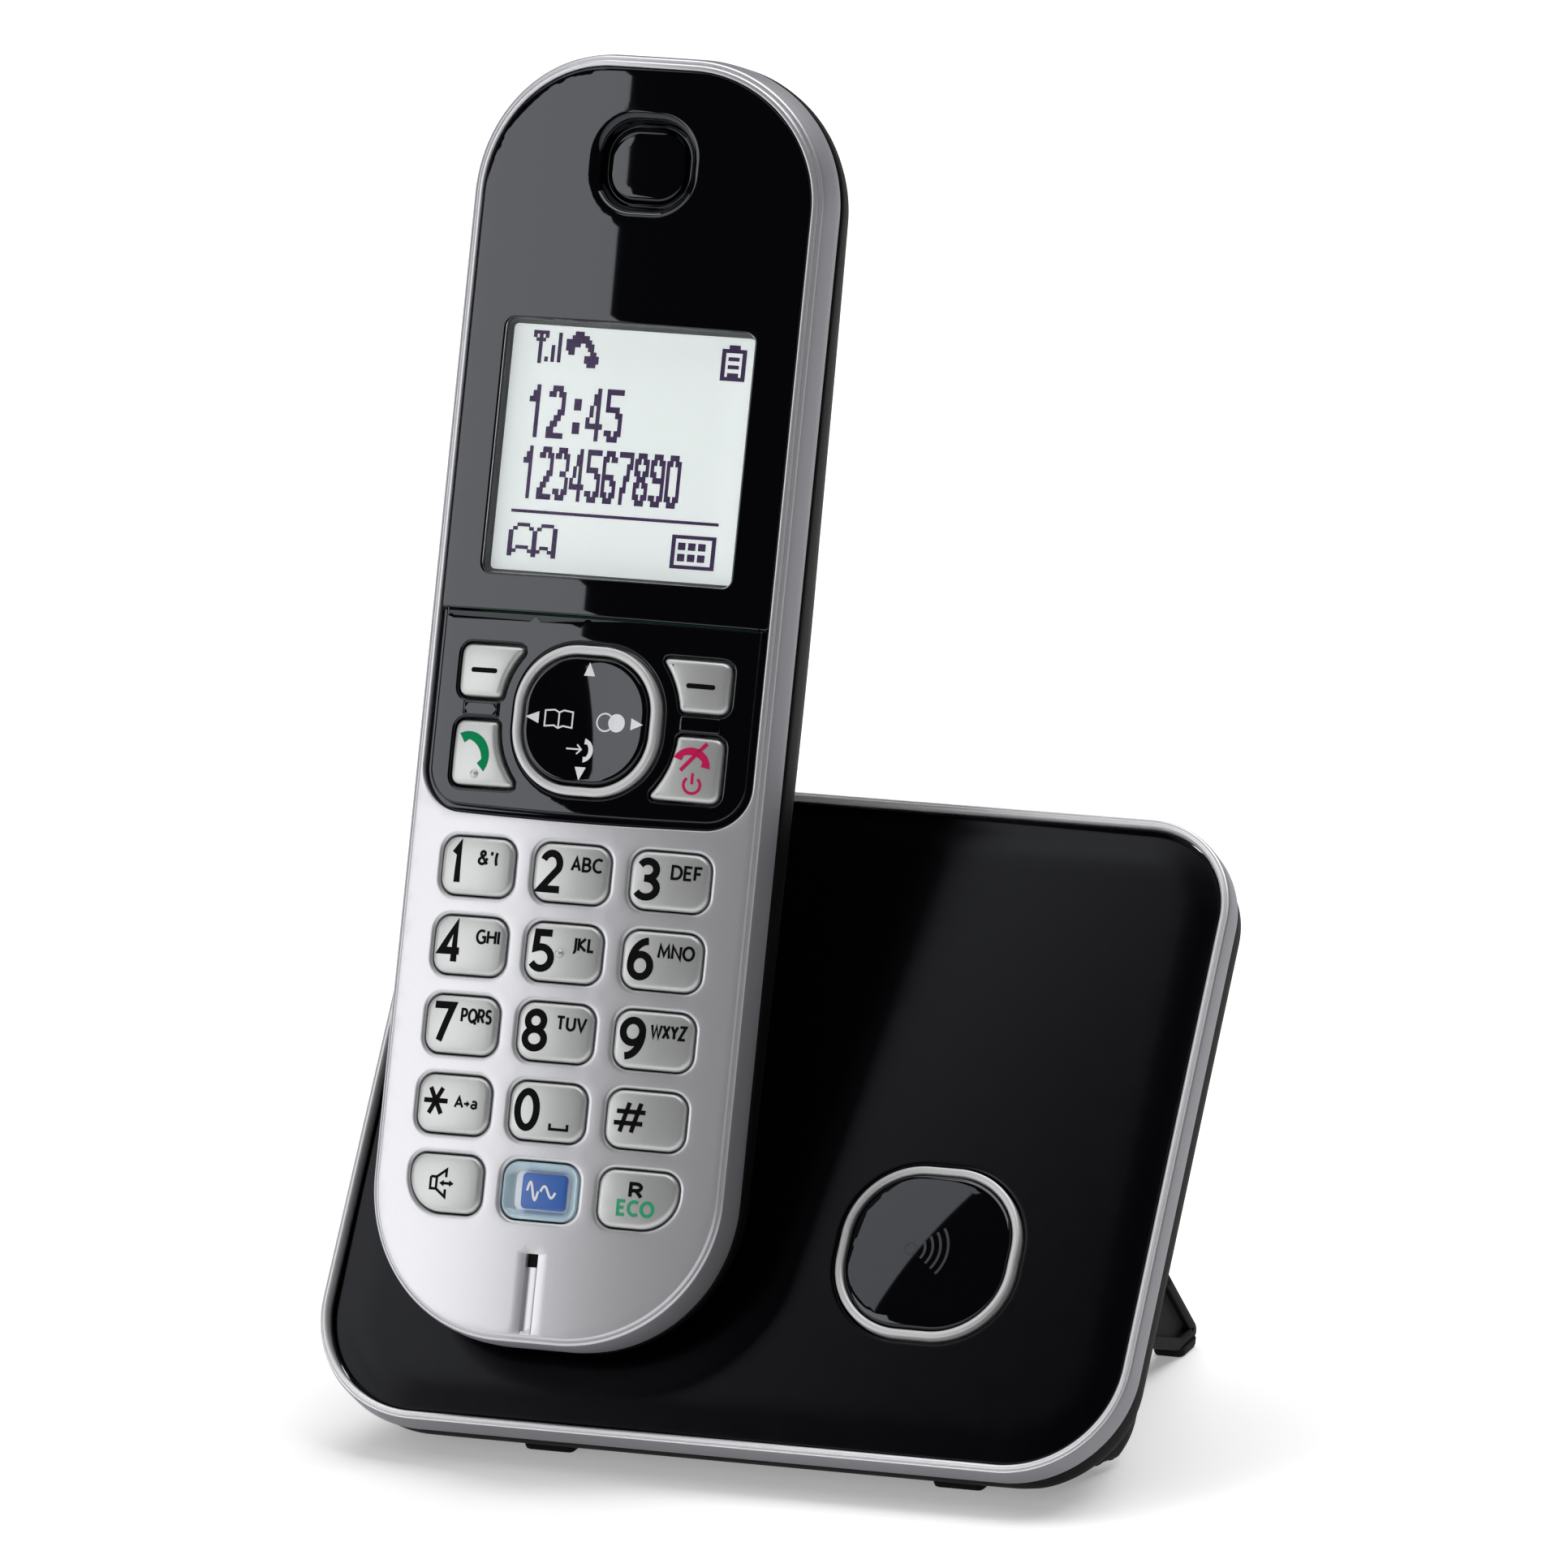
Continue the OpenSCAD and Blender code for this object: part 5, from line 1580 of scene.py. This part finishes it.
# Each foot: its place, its width, its depth and the height of its top
FEET = [(-24, 9.7, 7, 4.4, 1.25), (31, 9.7, 7, 4.4, 1.25), (-LEG_X, 63.3, 4.4, 5.4, 1.3),
        (LEG_X, 63.3, 4.4, 5.4, 1.3)]


def legs():
    """Two struts; each is a plate with a pocket in both of its sides."""
    outline = resample(round_corners(LEG_CORNERS[::-1], 0.3), 0.7)
    for side, name in ((-1, "left"), (1, "right")):
        s = Shape()
        stand = Matrix(((0, 0, 1, side * LEG_X), (1, 0, 0, PANEL_LOW_Y), (0, 1, 0, 0), (0, 0, 0, 1)))
        rings = s.stack(around(outline), LEG_EDGE + [(d, -z) for d, z in LEG_EDGE[::-1]], flip=True)
        for way, edge in ((1, rings[0]), (-1, rings[-1])):
            profile = [(-1.5, way * 2.0), (-1.62, way * 1.9), (-1.7, way * 1.3), (-1.9, way * 1.15)]
            pocket = s.stack(around(outline), profile)
            s.sheet(edge, [pocket[0]], way * 2.0, 1.5)
            s.sheet(pocket[-1], [], way * 1.15, 1.5)
        s.build("stand_leg_" + name + "_body", TO_METRES @ stand, "base", MATT, ["stand_leg_" + name])


def feet():
    s = Shape()
    for x, y, w, d, top in FEET:
        pad = rounded_loop(w, d, [1.0] * 4, (x, y + PANEL_LOW_Y), 0, 0.8, 0.3)
        profile = [(0.0, top), (-0.1, 0.5), (-0.25, 0.14), (-0.45, 0.02), (-0.8, 0.0), (-1.1, 0.0),
                   (-1.2, 0.15)]
        rings = s.stack(around(pad), profile, flip=True)
        s.sheet(rings[-1], [], 0.15, 1.0)
        s.sheet(rings[0], [], top, 1.5)
    s.build("base_foot_pads", TO_METRES, "base", RUBBER, ["base_feet"])


def base_metal():
    s = Shape()
    for x, y in BASE_SCREWS:
        screw_head(s, (x, y, -19.3), 2.6)
    s.build("base_screw_heads", PLATE, "base", [STEEL, RUBBER], ["base_screws"])
    profile = [(1.5, -3.4), (1.5, -0.6), (1.42, -0.32), (1.15, -0.12), (0.7, -0.02), (0.0, 0.0)]
    for side, name in ((-1, "left"), (1, "right")):
        s = Shape()
        lathe(s, profile, (side * PIN_X, PIN_Y, bow(PIN_Y) - 0.1), (0, 0, 1), 28)
        pin = "charge_pin_" + name
        s.build(pin + "_tip", HANDSET, pin, CONTACT, [pin])


# ---- Camera, light and floor ----

CAMERA_AZIMUTH = 23.0
CAMERA_ELEVATION = 17.77
CAMERA_ROLL = 2.77
CAMERA_DISTANCE = 2.321
CAMERA_LENS = 429.0
AIM = Vector((0.0, -0.0102, 0.070))
AIM_RIGHT = 0.0039
AIM_UP = 0.0134
WORLD_LIGHT = 0.03


def camera():
    a, e = math.radians(CAMERA_AZIMUTH), math.radians(CAMERA_ELEVATION)
    back = Vector((math.sin(a) * math.cos(e), -math.cos(a) * math.cos(e), math.sin(e)))
    right = Vector((math.cos(a), math.sin(a), 0))
    up = back.cross(right)
    roll = math.radians(-CAMERA_ROLL)
    right, up = math.cos(roll) * right + math.sin(roll) * up, math.cos(roll) * up - math.sin(roll) * right
    data = bpy.data.cameras.new("camera")
    data.lens = CAMERA_LENS
    data.sensor_width = 36
    data.clip_end = 20
    eye = AIM + back * CAMERA_DISTANCE
    # The camera looks a little to the right of the aim point and above it
    back = (eye - AIM - right * AIM_RIGHT - up * AIM_UP).normalized()
    right = up.cross(back).normalized()
    m = Matrix((right, back.cross(right), back)).transposed().to_4x4()
    m.translation = eye
    cam = bpy.data.objects.new("camera", data)
    cam.matrix_world = m
    bpy.context.scene.collection.objects.link(cam)
    bpy.context.scene.camera = cam


def area_light(name, size, power, matrix):
    data = bpy.data.lights.new(name, "AREA")
    data.shape = "RECTANGLE"
    data.size, data.size_y = size
    data.energy = power
    obj = bpy.data.objects.new(name, data)
    obj.matrix_world = matrix
    bpy.context.scene.collection.objects.link(obj)


def lamp(name, where, target, size, power):
    """A light that faces a point."""
    turn = (Vector(where) - Vector(target)).to_track_quat("Z", "Y").to_matrix().to_4x4()
    area_light(name, size, power, Matrix.Translation(where) @ turn)


# Each softbox: the foot and the head of its right edge, its width, and its power in watts.
# The first one's edge shows as a crisp line down the handset's gloss face,
# the second's across the locator button.
SOFTBOXES = {
    "softbox_face": ((-0.638, -1.57, 0.407), (-0.646, -1.0, 0.91), 1.2, 7.6),
    "softbox_panel": ((-0.744, -0.965, 0.932), (-0.286, -0.401, 1.464), 1.0, 4.3),
}


def softbox(name, low, high, width, power):
    """A flat light facing the object; the light spreads to the left of the edge from low to high."""
    low, high = Vector(low), Vector(high)
    along = (high - low).normalized()
    middle = (low + high) / 2
    out = (middle - along * middle.dot(along)).normalized()
    across = along.cross(out)
    m = Matrix((across, along, out)).transposed().to_4x4()
    m.translation = middle - across * width / 2
    area_light(name, (width, (high - low).length), power, m)


def studio():
    mesh = bpy.data.meshes.new("floor")
    mesh.from_pydata([(-6, -4, 0), (6, -4, 0), (6, 4, 0), (-6, 4, 0)], [], [(0, 1, 2, 3)])
    mesh.materials.append(FLOOR)
    floor = bpy.data.objects.new("floor", mesh)
    bpy.context.scene.collection.objects.link(floor)
    for name, (low, high, width, power) in SOFTBOXES.items():
        softbox(name, low, high, width, power)
    lamp("top", (0.1, 0.6, 1.7), (0, 0.1, 0), (2.4, 1.4), 34)
    lamp("back", (0.5, 1.6, 0.9), (0, 0, 0.08), (1.2, 0.8), 8)
    world = bpy.data.worlds.new("world")
    world.use_nodes = True
    background = world.node_tree.nodes["Background"]
    background.inputs["Color"].default_value = (1, 1, 1, 1)
    background.inputs["Strength"].default_value = WORLD_LIGHT
    bpy.context.scene.world = world
    bpy.context.scene.view_settings.view_transform = "Standard"


# The CAD pieces' own looks, by material slot; the display slot takes the LCD face with its painted glow
SLOT_MATERIALS = {"silver_paint": SILVER, "silver_key": KEY_SILVER, "clear_key": CLEAR_KEY,
                  "bright_trim": TRIM, "black_gloss": GLOSS, "black_matt": MATT, "rubber_dark": RUBBER,
                  "silicone_grey": SILICONE, "board": BOARD, "contact_metal": CONTACT, "steel": STEEL,
                  "speaker_frame": SPEAKER, "display": LCD_GLOW_FACE, "cell_sleeve": SLEEVE}

handset_front()
display_lens()
earpiece()
nav_panel()
digit_keys()
side_keys()
last_row_keys()
navigation()
display()
handset_rear()
battery_cover()
cells()
terminals()
handset_metal()
base_panel()
base_rim()
locator()
base_shell()
sockets()
legs()
feet()
base_metal()
camera()
studio()

for part in frame["record"]["subparts"]:
    node = frame["nodes"].get(part["node"])
    if node:
        node.data.materials.clear()
        node.data.materials.append(SLOT_MATERIALS[part["material_slot"]])
